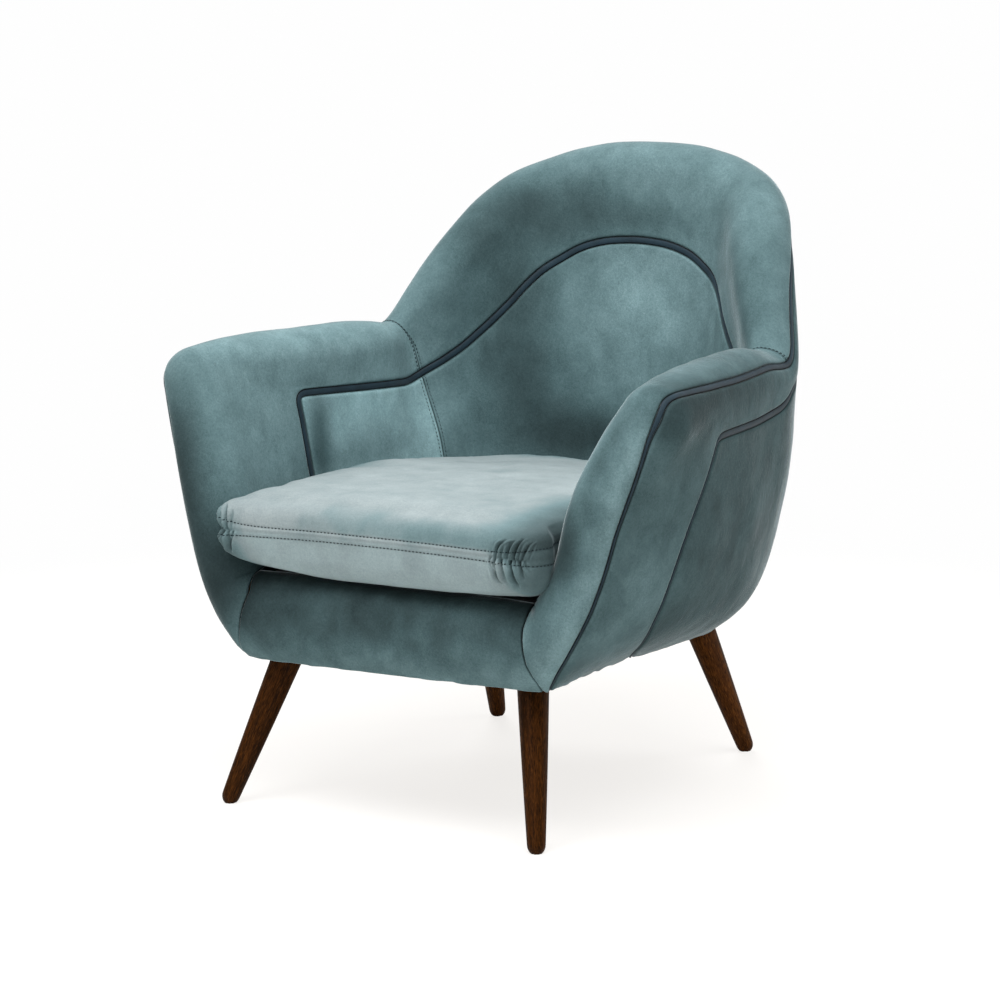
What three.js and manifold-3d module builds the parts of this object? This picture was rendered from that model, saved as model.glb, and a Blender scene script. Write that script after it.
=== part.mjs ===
// Upholstered tub armchair, millimetres, +Z up, +X to the sitter's left-hand side of the page,
// -Y the front. Origin: centre of the footprint of the whole chair, on the floor.
//
// The tub is one curved wall. Its middle surface M(u, v) is a tensor spline: u runs from the
// front edge of the right arm (0) to the middle of the back (1) and on to the front edge of the
// left arm (2); v runs from the underside (0) to the top edge (1). The padding stands WALL mm off
// the middle surface on both sides and rolls round its free edge, so every pad, band, strip and
// rail below is a patch of that one wall.
import * as THREE from 'three';
import { mergeVertices } from 'three/addons/utils/BufferGeometryUtils.js';
import Module from 'manifold-3d';

const wasm = await Module();
wasm.setup();

// ---------------------------------------------------------------- driving dimensions
const WALL = 45; // half thickness of the padded wall, and the radius of its rolled edge
const RIM_PAD = 20; // padding thickness of the rolled rim
const INNER_PAD = 27; // foam thickness of the inner arm and back pads
const BAND = 11; // padding thickness of the middle band
const PANEL = 10; // padding thickness of the outer panels
const PIPE_W = 9.4; // width of the flat piping strips
const PIPE_T = 6; // depth of the piping strips
const PIPE_SINK = 1.6; // how far the strips lie below the pads' faces
const GAP = 0.95; // clearance between neighbouring pieces
const BOARD = 12.5; // half thickness of the frame boards inside the wall
const SEAM = 0.562; // u of the seams between the arm pads and the back pads
const V_INNER = 0.17; // v of the lower edge of the inner pads
const V_OUTER = 0.0; // v of the lower edge of the outer panels

const RAIL_Z0 = 216; // underside of the seat rails
const RAIL_H = 72; // height of the seat rails
const RAIL_T = 25; // thickness of the seat rails
const SIDE_X = 172; // inner face of the side rails
const FRONT_Y = -350; // front face of the front rail
const REAR_Y = 141; // front face of the rear rail
const PLATE_T = 2.5; // leg plate thickness

const LEG_FRONT = { foot: [243, -378.2], at190: [195, -310.2] };
const LEG_REAR = { foot: [210.8, 252.4], at190: [180.1, 164.7] };
const LEG_R_TOP = 21.5; // leg radius under the plate
const LEG_R_FOOT = 12.2; // leg radius just above the rounded end

const DECK_Z = 307.5; // underside of the seat deck
const DECK_T = 8;
const CUSHION_Z = 316.2; // underside of the loose cushion

// control net of the middle surface, right half: rows from the underside to the top edge,
// columns from the arm front to the middle of the back
const NET = [
  [[203, -330.1, 232.4], [204, -236.4, 243.2], [206.6, -130.8, 244.3], [206.2, -28.2, 242.7], [203.7, 57.5, 241.4], [200.5, 101.3, 239.1], [188.4, 140.8, 234.7], [166.5, 173.4, 231.3], [136, 198.2, 229.3], [93.9, 218.1, 228.3], [47.1, 230, 227.9], [0, 232.8, 227.9]],
  [[235.5, -337.5, 266.1], [246.3, -238.9, 271.1], [255.4, -131.4, 270.3], [256.5, -28, 268.5], [248.2, 58.3, 266.7], [232.3, 109.4, 267.6], [208.2, 150.8, 271], [180.8, 184.9, 274.6], [148.3, 211.5, 278.9], [102.8, 234.9, 282.4], [51.7, 246.9, 284.1], [0, 249.5, 284.6]],
  [[279.2, -327.7, 335.9], [296.3, -235.6, 330.1], [300.2, -132, 326.4], [293.5, -28.4, 324.8], [280, 59.4, 325.4], [263.6, 116.1, 330.1], [240.3, 166.3, 342], [215.8, 205.6, 356.1], [181.4, 237.6, 372.2], [124.4, 272.3, 385], [61.3, 282, 390.9], [0, 279.6, 392.6]],
  [[303, -323.5, 419.1], [317.7, -232.5, 411.8], [319, -131.7, 406.9], [309.4, -29.2, 405.2], [295, 58.6, 406], [282.3, 118.8, 412.1], [260, 173.1, 434.8], [234, 214.2, 463.9], [198.5, 250.4, 497.1], [136.3, 294.6, 523.1], [67.2, 306.8, 534.8], [0, 305.9, 538]],
  [[329.4, -308.7, 492.6], [332.8, -226, 488.6], [327.5, -130.3, 485.8], [316.1, -30.3, 484.4], [302.9, 55.2, 483], [293.1, 113, 486.1], [271.8, 165.6, 515.9], [247.4, 210.6, 562.1], [210.1, 254.6, 615.1], [144.9, 309.4, 655], [71.8, 326.3, 671.9], [0, 328.7, 676.1]],
  [[360.7, -285.1, 557], [348.6, -216.1, 563.1], [335, -128.1, 565.5], [321.6, -31.5, 565.3], [309.7, 50.1, 561.7], [302.8, 99.4, 556], [289, 144.3, 579.9], [260.4, 189.9, 650.8], [219.3, 256, 733], [155.4, 326.3, 786.2], [76.2, 344.9, 807.6], [0, 349.5, 811.9]],
];
const UK = [0, 0.09, 0.21, 0.33, 0.44, 0.52, 0.6, 0.67, 0.74, 0.84, 0.92, 1];
const VK = [0, 0.1, 0.3, 0.54, 0.77, 1];

// lines on the wall
const LEG_LINE = [[0, 0.225], [0.3, 0.222], [0.54, 0.211], [0.66, 0.206], [0.77, 0.2], [0.84, 0.196]]; // v -> u, front leg of the inner piping
const INNER_LINE = [[0.196, 0.862], [0.21, 0.874], [0.3, 0.873], [0.4, 0.868], [0.48, 0.869], [0.56, 0.856], [0.616, 0.823], [0.664, 0.792], [0.71, 0.77], [0.745, 0.772], [0.777, 0.788], [0.813, 0.801], [0.858, 0.809], [0.897, 0.823], [0.94, 0.831], [1, 0.834]]; // u -> v
const OUTER2_LEG = [[0, 0.232], [0.05, 0.185], [0.108, 0.15], [0.214, 0.117], [0.314, 0.107], [0.406, 0.109], [0.51, 0.119], [0.612, 0.133], [0.713, 0.149], [0.787, 0.161], [0.84, 0.17]]; // v -> u
const OUTER2_LINE = [[0.172, 0.868], [0.19, 0.878], [0.283, 0.878], [0.367, 0.882], [0.451, 0.904], [0.504, 0.936], [0.54, 0.972], [0.57, 0.978], [0.6, 0.965], [0.64, 0.945], [0.7, 0.918], [0.78, 0.895], [0.88, 0.882], [1, 0.88]]; // u -> v
// angle of the upper outer piping on the rolled edge, degrees outwards from its crest
const T1_LEG = [[0, 78], [0.06, 70], [0.13, 65], [0.3, 63], [0.52, 66], [0.65, 62], [0.74, 54], [0.83, 42], [0.92, 28], [1, 19]]; // v -> angle
const T1_FAN = [[0, 19], [0.5, 17], [1, 22]]; // corner fan -> angle
const T1_TOP = [[0, 22], [0.045, 34], [0.09, 44], [0.21, 56], [0.33, 58], [0.45, 52], [0.52, 49], [0.6, 52], [0.7, 58], [1, 62]]; // u -> angle

// ---------------------------------------------------------------- splines
// rows of the matrix that turns knot values into a natural spline's second derivatives
function secondDerivatives(xk) {
  const n = xk.length;
  const A = Array.from({ length: n }, () => new Array(n).fill(0));
  const R = Array.from({ length: n }, () => new Array(n).fill(0));
  A[0][0] = 1;
  A[n - 1][n - 1] = 1;
  for (let i = 1; i < n - 1; i++) {
    const a = xk[i] - xk[i - 1];
    const b = xk[i + 1] - xk[i];
    A[i][i - 1] = a;
    A[i][i] = 2 * (a + b);
    A[i][i + 1] = b;
    R[i][i + 1] += 6 / b;
    R[i][i] -= 6 / b + 6 / a;
    R[i][i - 1] += 6 / a;
  }
  for (let i = 0; i < n; i++) {
    const p = A[i][i];
    for (let j = 0; j < n; j++) { A[i][j] /= p; R[i][j] /= p; }
    for (let k = 0; k < n; k++) {
      if (k === i || A[k][i] === 0) continue;
      const f = A[k][i];
      for (let j = 0; j < n; j++) { A[k][j] -= f * A[i][j]; R[k][j] -= f * R[i][j]; }
    }
  }
  return R;
}
function weights(xk, D, x) {
  const n = xk.length;
  let i = 0;
  while (i < n - 2 && x > xk[i + 1]) i++;
  const h = xk[i + 1] - xk[i];
  const t = x - xk[i];
  const a = xk[i + 1] - x;
  const w = new Array(n).fill(0);
  for (let j = 0; j < n; j++) {
    w[j] = D[i][j] * (a * a * a / (6 * h) - h * a / 6) + D[i + 1][j] * (t * t * t / (6 * h) - h * t / 6);
  }
  w[i] += a / h;
  w[i + 1] += t / h;
  return w;
}
const UKF = [...UK, ...UK.slice(0, -1).reverse().map((u) => 2 - u)];
const NETF = NET.map((row) => [...row, ...row.slice(0, -1).reverse().map(([x, y, z]) => [-x, y, z])]);
const DU = secondDerivatives(UKF);
const DV = secondDerivatives(VK);

const V3 = (x, y, z) => new THREE.Vector3(x, y, z);
function mid(u, v) {
  const wu = weights(UKF, DU, u);
  const wv = weights(VK, DV, v);
  let x = 0, y = 0, z = 0;
  for (let i = 0; i < wv.length; i++) {
    for (let j = 0; j < wu.length; j++) {
      const w = wv[i] * wu[j];
      x += w * NETF[i][j][0];
      y += w * NETF[i][j][1];
      z += w * NETF[i][j][2];
    }
  }
  return V3(x, y, z);
}
const E = 1e-3;
function frameAt(u, v) {
  const p = mid(u, v);
  const du = mid(u + E, v).sub(mid(u - E, v)).divideScalar(2 * E);
  const dv = mid(u, v + E).sub(mid(u, v - E)).divideScalar(2 * E);
  const n = du.clone().cross(dv).normalize();
  return { p, du, dv, n };
}
// a point on the padded wall's face: side +1 outside, -1 inside
function wallPoint(u, v, side) {
  const f = frameAt(u, v);
  const n = f.n.multiplyScalar(side);
  return { p: f.p.addScaledVector(n, WALL), n };
}
// a point on the rolled edge. st = {u, v, a}: a = 0 on the arm front, 1 on the top edge, between
// in the corner; deg is measured from the crest, + outwards
function rollPoint(st, deg) {
  const f = frameAt(st.u, st.v);
  const tu = f.du.clone().normalize();
  const tv = f.dv.clone().normalize();
  const k = tu.dot(tv);
  const front = tu.clone().negate().addScaledVector(tv, k).normalize();
  const top = tv.clone().addScaledVector(tu, -k).normalize();
  const a = st.a * Math.PI / 2;
  const o = front.multiplyScalar(Math.cos(a)).addScaledVector(top, Math.sin(a)).normalize();
  const t = deg * Math.PI / 180;
  const n = o.multiplyScalar(Math.cos(t)).addScaledVector(f.n, Math.sin(t)).normalize();
  return { p: f.p.addScaledVector(n, WALL), n };
}
function lerp(a, b, t) { return a + (b - a) * t; }
function table(list, x) {
  if (x <= list[0][0]) return list[0][1];
  for (let i = 1; i < list.length; i++) {
    if (x <= list[i][0]) return lerp(list[i - 1][1], list[i][1], (x - list[i - 1][0]) / (list[i][0] - list[i - 1][0]));
  }
  return list[list.length - 1][1];
}

// ---------------------------------------------------------------- lines on the wall
// a line is a list of [u, v]; the corner is rounded by a few points of its own
function densify(list, m) {
  const out = [];
  for (let i = 0; i < list.length - 1; i++) {
    const a = list[Math.max(i - 1, 0)], b = list[i], c = list[i + 1], d = list[Math.min(i + 2, list.length - 1)];
    for (let k = 0; k < m; k++) {
      const t = k / m;
      const q = [0, 1].map((j) => {
        const m0 = (c[j] - a[j]) / 2, m1 = (d[j] - b[j]) / 2;
        const t2 = t * t, t3 = t2 * t;
        return (2 * t3 - 3 * t2 + 1) * b[j] + (t3 - 2 * t2 + t) * m0 + (-2 * t3 + 3 * t2) * c[j] + (t3 - t2) * m1;
      });
      out.push(q);
    }
  }
  out.push(list[list.length - 1]);
  return out;
}
const INNER_UV = densify([...LEG_LINE.map(([v, u]) => [u, v]).filter(([, v]) => v < 0.8), [0.1955, 0.832], [0.1975, 0.858], [0.207, 0.872], [0.226, 0.8755], ...INNER_LINE.filter(([u]) => u > 0.25)], 2);
const OUTER2_UV = densify([...OUTER2_LEG.map(([v, u]) => [u, v]).filter(([, v]) => v < 0.82), [0.168, 0.845], [0.1735, 0.867], [0.187, 0.8775], [0.21, 0.879], ...OUTER2_LINE.filter(([u]) => u > 0.25)], 2);
function cornerIndex(list) {
  let best = 0, m = -1e9;
  list.forEach(([u, v], i) => { const q = v - 1.3 * u; if (q > m && u < 0.3) { m = q; best = i; } });
  return best;
}
const along = (list, t) => {
  const i = Math.min(Math.floor(t), list.length - 2);
  return [lerp(list[i][0], list[i + 1][0], t - i), lerp(list[i][1], list[i + 1][1], t - i)];
};
// the place on the line that a station of the free edge looks across to, as a position in the list
function position(list, st) {
  const c = cornerIndex(list);
  const lo = c - 3, hi = c + 3;
  if (st.a === 0 && st.v < 1) {
    const v0 = 0.17;
    const v = st.v <= v0 ? st.v : lerp(v0, list[lo][1], (st.v - v0) / (1 - v0));
    for (let i = 1; i <= lo; i++) if (v <= list[i][1]) return i - 1 + (v - list[i - 1][1]) / (list[i][1] - list[i - 1][1]);
    return lo;
  }
  if (st.u === 0) return lerp(lo, hi, st.a);
  const u = st.u + list[hi][0] * Math.pow(Math.max(0, 1 - st.u / 0.5), 1.5);
  for (let i = hi + 1; i < list.length; i++) if (u <= list[i][0]) return i - 1 + Math.max(0, (u - list[i - 1][0]) / (list[i][0] - list[i - 1][0]));
  return list.length - 1;
}
// a point of the wall's face d mm beside the line, + to the side away from the free edge
function beside(list, side, t, d) {
  const [u, v] = along(list, t);
  const a = along(list, Math.max(t - 0.6, 0)), b = along(list, Math.min(t + 0.6, list.length - 1));
  const tu = b[0] - a[0], tv = u > 0.99 ? 0 : b[1] - a[1];
  const pu = wallPoint(u + E, v, side).p.sub(wallPoint(u - E, v, side).p).divideScalar(2 * E);
  const pv = wallPoint(u, v + E, side).p.sub(wallPoint(u, v - E, side).p).divideScalar(2 * E);
  const s = pu.clone().multiplyScalar(tu).addScaledVector(pv, tv).normalize().cross(frameAt(u, v).n).normalize();
  const A = pu.dot(pu), B = pu.dot(pv), C = pv.dot(pv);
  const x = s.dot(pu) * d, y = s.dot(pv) * d;
  const det = A * C - B * B;
  return [u + (x * C - y * B) / det, v + (A * y - B * x) / det];
}
const half = PIPE_W / 2;
function outer1Angle(st) {
  if (st.u === 0 && st.a === 0) return table(T1_LEG, st.v);
  if (st.u === 0) return table(T1_FAN, st.a);
  return table(T1_TOP, st.u > 1 ? 2 - st.u : st.u);
}

// ---------------------------------------------------------------- solids
const group = new THREE.Group();
const MAT = {
  velvet: { color: 0x6f9094, roughness: 0.85, metalness: 0 },
  velvetDark: { color: 0x557678, roughness: 0.88, metalness: 0 },
  cushion: { color: 0x9db3b5, roughness: 0.82, metalness: 0 },
  piping: { color: 0x3a4e5c, roughness: 0.8, metalness: 0 },
  walnut: { color: 0x3d2213, roughness: 0.5, metalness: 0 },
  beech: { color: 0xc8a577, roughness: 0.7, metalness: 0 },
  spring: { color: 0x8a8d90, roughness: 0.4, metalness: 1 },
  zinc: { color: 0xa9adb0, roughness: 0.35, metalness: 1 },
  deck: { color: 0x2e3336, roughness: 0.95, metalness: 0 },
  dust: { color: 0x17181a, roughness: 0.95, metalness: 0 },
  foam: { color: 0xe6dcb8, roughness: 0.95, metalness: 0 },
  tape: { color: 0x4b5f66, roughness: 0.8, metalness: 0 },
};
function add(name, geometry, mat) {
  const mesh = new THREE.Mesh(geometry, new THREE.MeshStandardMaterial({ ...MAT[mat] }));
  mesh.name = name;
  group.add(mesh);
  return mesh;
}
function geometryOf(verts, tris) {
  let vol = 0;
  for (const [a, b, c] of tris) vol += verts[a].dot(verts[b].clone().cross(verts[c]));
  const g = new THREE.BufferGeometry();
  g.setAttribute('position', new THREE.Float32BufferAttribute(verts.flatMap((p) => [p.x, p.y, p.z]), 3));
  g.setIndex(tris.flatMap(([a, b, c]) => (vol > 0 ? [a, b, c] : [a, c, b])));
  g.computeVertexNormals();
  return g;
}
// a patch of thickness t: grid[i][j] = {p, n}, the face, and n pointing out of the padding. The side
// walls split along the same diagonal on every piece, so that neighbours' twisted walls stay parallel.
function slab(grid, t, { sink = 0, mirror = false, both = false } = {}) {
  const R = grid.length, C = grid[0].length;
  const verts = [];
  const thick = typeof t === 'function' ? t : () => t;
  for (let i = 0; i < R; i++) for (let j = 0; j < C; j++) verts.push(grid[i][j].p.clone().addScaledVector(grid[i][j].n, -sink));
  for (let i = 0; i < R; i++) for (let j = 0; j < C; j++) verts.push(grid[i][j].p.clone().addScaledVector(grid[i][j].n, -sink - thick(i, j)));
  if (mirror) for (const v of verts) v.x *= -1;
  const N = R * C;
  const at = (i, j) => i * C + j;
  const tris = [];
  for (let i = 0; i < R - 1; i++) {
    for (let j = 0; j < C - 1; j++) {
      const a = at(i, j), b = at(i + 1, j), c = at(i + 1, j + 1), d = at(i, j + 1);
      tris.push([a, b, c], [a, c, d]);
      tris.push([N + a, N + c, N + b], [N + a, N + d, N + c]);
    }
  }
  // a to b along the rim; early = true splits from a's face to b's back
  const wall = (a, b, early) => (early ? tris.push([a, N + a, N + b], [a, N + b, b]) : tris.push([a, N + a, b], [N + a, N + b, b]));
  for (let i = 0; i < R - 1; i++) {
    const first = !(both && i >= (R - 1) / 2);
    wall(at(i, 0), at(i + 1, 0), first);
    wall(at(i + 1, C - 1), at(i, C - 1), !first);
  }
  for (let j = 0; j < C - 1; j++) { wall(at(0, j + 1), at(0, j), false); wall(at(R - 1, j), at(R - 1, j + 1), true); }
  return geometryOf(verts, tris);
}
function solid(geometry) {
  const g = (geometry.index ? geometry.toNonIndexed() : geometry).clone();
  g.deleteAttribute('normal');
  g.deleteAttribute('uv');
  const m = mergeVertices(g, 1e-4);
  return new wasm.Manifold(new wasm.Mesh({ numProp: 3, vertProperties: m.attributes.position.array, triVerts: new Uint32Array(m.index.array) }));
}
function fromSolid(s) {
  const m = s.getMesh();
  const g = new THREE.BufferGeometry();
  g.setAttribute('position', new THREE.Float32BufferAttribute(Array.from(m.vertProperties), 3));
  g.setIndex(Array.from(m.triVerts));
  g.computeVertexNormals();
  return g;
}
function box(x0, x1, y0, y1, z0, z1) {
  return new THREE.BoxGeometry(x1 - x0, y1 - y0, z1 - z0).translate((x0 + x1) / 2, (y0 + y1) / 2, (z0 + z1) / 2);
}
function prism(points, z0, z1) {
  const s = new THREE.Shape(points.map(([x, y]) => new THREE.Vector2(x, y)));
  return new THREE.ExtrudeGeometry(s, { depth: z1 - z0, bevelEnabled: false }).translate(0, 0, z0);
}
function rod(a, b, r, sides = 16, r2 = r) {
  const d = b.clone().sub(a);
  const g = new THREE.CylinderGeometry(r2, r, d.length(), sides);
  g.applyQuaternion(new THREE.Quaternion().setFromUnitVectors(V3(0, 1, 0), d.clone().normalize()));
  return g.translate((a.x + b.x) / 2, (a.y + b.y) / 2, (a.z + b.z) / 2);
}
const mirrorX = (g) => {
  const m = g.clone().scale(-1, 1, 1);
  const idx = m.index ? Array.from(m.index.array) : [...Array(m.attributes.position.count).keys()];
  for (let i = 0; i < idx.length; i += 3) [idx[i + 1], idx[i + 2]] = [idx[i + 2], idx[i + 1]];
  m.setIndex(idx);
  m.computeVertexNormals();
  return m;
};

// ---------------------------------------------------------------- stations along the free edge
// one list serves every pad, band and strip, so that neighbours share their facets
const APRON_T = [[0, 66], [0.035, 42], [0.06, 12], [0.085, -12], [0.11, -38], [0.14, -54], [0.17, -78]];
const FRONT_ST = [0.012, 0.045, 0.085, 0.125, 0.17, 0.28, 0.41, 0.54, 0.67, 0.79, 0.9].map((v) => ({ u: 0, v, a: 0 }));
const FAN_ST = [0.001, 0.5, 0.999].map((a) => ({ u: 0, v: 1, a }));
const TOP_U = [0.04, 0.1, 0.17, 0.25, 0.33, 0.41, 0.485, 0.53, SEAM, 0.59, 0.62, 0.65, 0.685, 0.725, 0.77, 0.82, 0.88, 0.94, 1];
const TOP_ST = TOP_U.map((u) => ({ u, v: 1, a: 1 }));
const ALL_ST = [...FRONT_ST, ...FAN_ST, ...TOP_ST];
const iSeam = ALL_ST.findIndex((s) => s.u === SEAM);
const shifted = (st, u) => ({ ...st, u });
const mirrorRow = (row) => row.map(({ p, n }) => ({ p: V3(-p.x, p.y, p.z), n: V3(-n.x, n.y, n.z) }));
const bothHalves = (rows) => [...rows, ...rows.slice(0, -1).reverse().map(mirrorRow)];

// ---------------------------------------------------------------- the rolled rim
function rimRow(st, at = st) {
  const row = [];
  const end = outer1Angle(at) - (half + GAP) / WALL * 180 / Math.PI;
  const NW = 2, NR = 6;
  if (st.a === 0 && st.v < 0.18) {
    const start = table(APRON_T, st.v);
    for (let k = 0; k <= NW + NR; k++) row.push(rollPoint(st, lerp(start, end, k / (NW + NR))));
    return row;
  }
  let [ut, vt] = beside(INNER_UV, -1, position(INNER_UV, at), -(half + GAP));
  ut += st.u - at.u;
  for (let k = 0; k < NW; k++) row.push(wallPoint(lerp(ut, st.u, k / NW), lerp(vt, st.v, k / NW), -1));
  for (let k = 0; k <= NR; k++) row.push(rollPoint(st, lerp(-90, end, k / NR)));
  return row;
}
const seam = 0.0007; // half the clearance of a seam across the wall, in u
{
  const rows = ALL_ST.slice(0, iSeam).map((s) => rimRow(s));
  rows.push(rimRow(shifted(ALL_ST[iSeam], SEAM - seam), ALL_ST[iSeam]));
  add('arm_rim_right', slab(rows, RIM_PAD), 'velvet');
  add('arm_rim_left', slab(rows, RIM_PAD, { mirror: true }), 'velvet');
  const back = [rimRow(shifted(ALL_ST[iSeam], SEAM + seam), ALL_ST[iSeam]), ...ALL_ST.slice(iSeam + 1).map((s) => rimRow(s))];
  add('back_rim', slab(bothHalves(back), RIM_PAD, { both: true }), 'velvet');
}

// ---------------------------------------------------------------- inner pads and outer panels
// four-sided patch of the wall from its four edges in [u, v]
function coons(bottom, top, left, right, side) {
  const C = bottom.length - 1, R = left.length - 1;
  const g = [];
  for (let i = 0; i <= R; i++) {
    const row = [];
    for (let j = 0; j <= C; j++) {
      const s = j / C, r = i / R;
      const q = [0, 1].map((k) => lerp(bottom[j][k], top[j][k], r) + lerp(left[i][k], right[i][k], s)
        - (lerp(bottom[0][k], bottom[C][k], s) * (1 - r) + lerp(top[0][k], top[C][k], s) * r));
      row.push(wallPoint(q[0], q[1], side));
    }
    g.push(row);
  }
  return g;
}
const SEAM_ROWS = [0, 0.16, 0.32, 0.48, 0.64, 0.82, 1];
const iFan = FRONT_ST.length + 1; // the corner station
{
  const edge = ALL_ST.map((s) => beside(INNER_UV, -1, position(INNER_UV, s), half + GAP));
  const first = ALL_ST.findIndex((s) => s.v > 0.2);
  const left = [[edge[first][0] + 0.002, V_INNER], ...edge.slice(first, iFan + 1)];
  const top = edge.slice(iFan, iSeam + 1).map((q) => [...q]);
  top[top.length - 1][0] = SEAM - seam;
  const vTop = top[top.length - 1][1];
  const n = left.length - 1;
  const right = left.map((_, i) => [SEAM - seam, lerp(V_INNER, vTop, i / n)]);
  const bottom = top.map((q) => [Math.max(q[0], left[0][0]), V_INNER]);
  bottom[0] = left[0];
  const g = coons(bottom, top, left, right, -1);
  add('inner_arm_pad_right', slab(g, INNER_PAD), 'velvetDark');
  add('inner_arm_pad_left', slab(g, INNER_PAD, { mirror: true }), 'velvetDark');
  const cols = edge.slice(iSeam).map((q) => [...q]);
  cols[0][0] = SEAM + seam;
  cols[cols.length - 1][0] = 1;
  const rows = cols.map(([u, v]) => right.map((q, i) => wallPoint(u, lerp(V_INNER, v, i / n), -1)));
  add('inner_back_pad', slab(bothHalves(rows), INNER_PAD, { both: true }), 'velvetDark');
}
{
  const edge = ALL_ST.map((s) => beside(OUTER2_UV, 1, position(OUTER2_UV, s), half + GAP));
  const left = edge.slice(0, iFan + 1);
  const top = edge.slice(iFan).map((q) => [...q]);
  top[top.length - 1][0] = 0.9996;
  const bottom = top.map(([u]) => {
    const s = (u - top[0][0]) / (0.9996 - top[0][0]);
    return [lerp(left[0][0], 0.9996, s), lerp(V_OUTER, left[0][1], Math.pow(1 - s, 6))];
  });
  const n = left.length - 1;
  const right = left.map((_, i) => [0.9996, lerp(V_OUTER, top[top.length - 1][1], i / n)]);
  const g = coons(bottom, top, left, right, 1);
  add('outer_panel_right', slab(g, PANEL), 'velvetDark');
  add('outer_panel_left', slab(g, PANEL, { mirror: true }), 'velvetDark');
}

// ---------------------------------------------------------------- middle band
function bandRow(st, at = st) {
  const row = [];
  const start = outer1Angle(at) + (half + GAP) / WALL * 180 / Math.PI;
  for (let k = 0; k < 2; k++) row.push(rollPoint(st, lerp(start, 90, k / 2)));
  let [ut, vt] = beside(OUTER2_UV, 1, position(OUTER2_UV, at), -(half + GAP));
  ut += st.u - at.u;
  for (let k = 0; k <= 3; k++) row.push(wallPoint(lerp(st.u, ut, k / 3), lerp(st.v, vt, k / 3), 1));
  return row;
}
{
  const rows = ALL_ST.slice(0, -1).map((s) => bandRow(s));
  rows.push(bandRow(shifted(ALL_ST[ALL_ST.length - 1], 0.9996), ALL_ST[ALL_ST.length - 1]));
  add('middle_band_right', slab(rows, BAND), 'velvetDark');
  add('middle_band_left', slab(rows, BAND, { mirror: true }), 'velvetDark');
}

// ---------------------------------------------------------------- pipings
function wallStrip(list, side, stations) {
  return bothHalves(stations.map((s) => {
    const t = position(list, s);
    return [-half, 0, half].map((d) => {
      const [u, v] = beside(list, side, t, d);
      return wallPoint(s.u === 1 ? 1 : u, v, side);
    });
  }));
}
const strip = (rows) => slab(rows, PIPE_T, { sink: PIPE_SINK, both: true });
add('inner_piping', strip(wallStrip(INNER_UV, -1, ALL_ST.filter((s) => s.v > 0.2))), 'piping');
add('outer_piping_lower', strip(wallStrip(OUTER2_UV, 1, ALL_ST)), 'piping');
{
  const w = half / WALL * 180 / Math.PI;
  add('outer_piping_upper', strip(bothHalves(ALL_ST.map((s) => [-w, 0, w].map((d) => rollPoint(s, outer1Angle(s) + d))))), 'piping');
}

// ---------------------------------------------------------------- front apron
{
  // the seam to the arm rim, from under the cushion down to the underside
  const seamV = FRONT_ST.slice(0, 5).map((s) => s.v).reverse();
  const prof = [[-343, 313], [-368, 303], [-379, 275], [-379, 240], [-367, 208]]; // y, z at the middle
  const under = [[-350, 199, 214], [-336, 199.5, 205]];
  const cols = [-1, -0.92, -0.8, -0.6, -0.3, 0, 0.3, 0.6, 0.8, 0.92, 1];
  const rows = seamV.map((v, i) => {
    const st = { u: 0, v, a: 0 };
    const e = rollPoint(st, table(APRON_T, v) - (GAP + 0.6) / WALL * 180 / Math.PI);
    return cols.map((t) => {
      const s = Math.abs(t), w = Math.pow(s, 3);
      const p = V3(Math.sign(t) * e.p.x * s, lerp(prof[i][0], e.p.y, w), Math.min(lerp(prof[i][1], e.p.z, w), 315.2));
      const a = prof[Math.max(i - 1, 0)], b = prof[Math.min(i + 1, prof.length - 1)];
      const n0 = V3(0, -(a[1] - b[1]), a[0] - b[0]).normalize();
      if (n0.y > 0) n0.negate();
      const n = n0.multiplyScalar(1 - w).addScaledVector(V3(Math.sign(t) * e.n.x, e.n.y, e.n.z), w).normalize();
      return { p, n };
    });
  });
  for (const [y, z, x] of under) rows.push(cols.map((t) => ({ p: V3(t * x, y, z), n: V3(0, 0, -1) })));
  add('front_apron', slab(rows, (i) => (i === 0 ? 9 : 11)), 'velvetDark');
}

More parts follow.
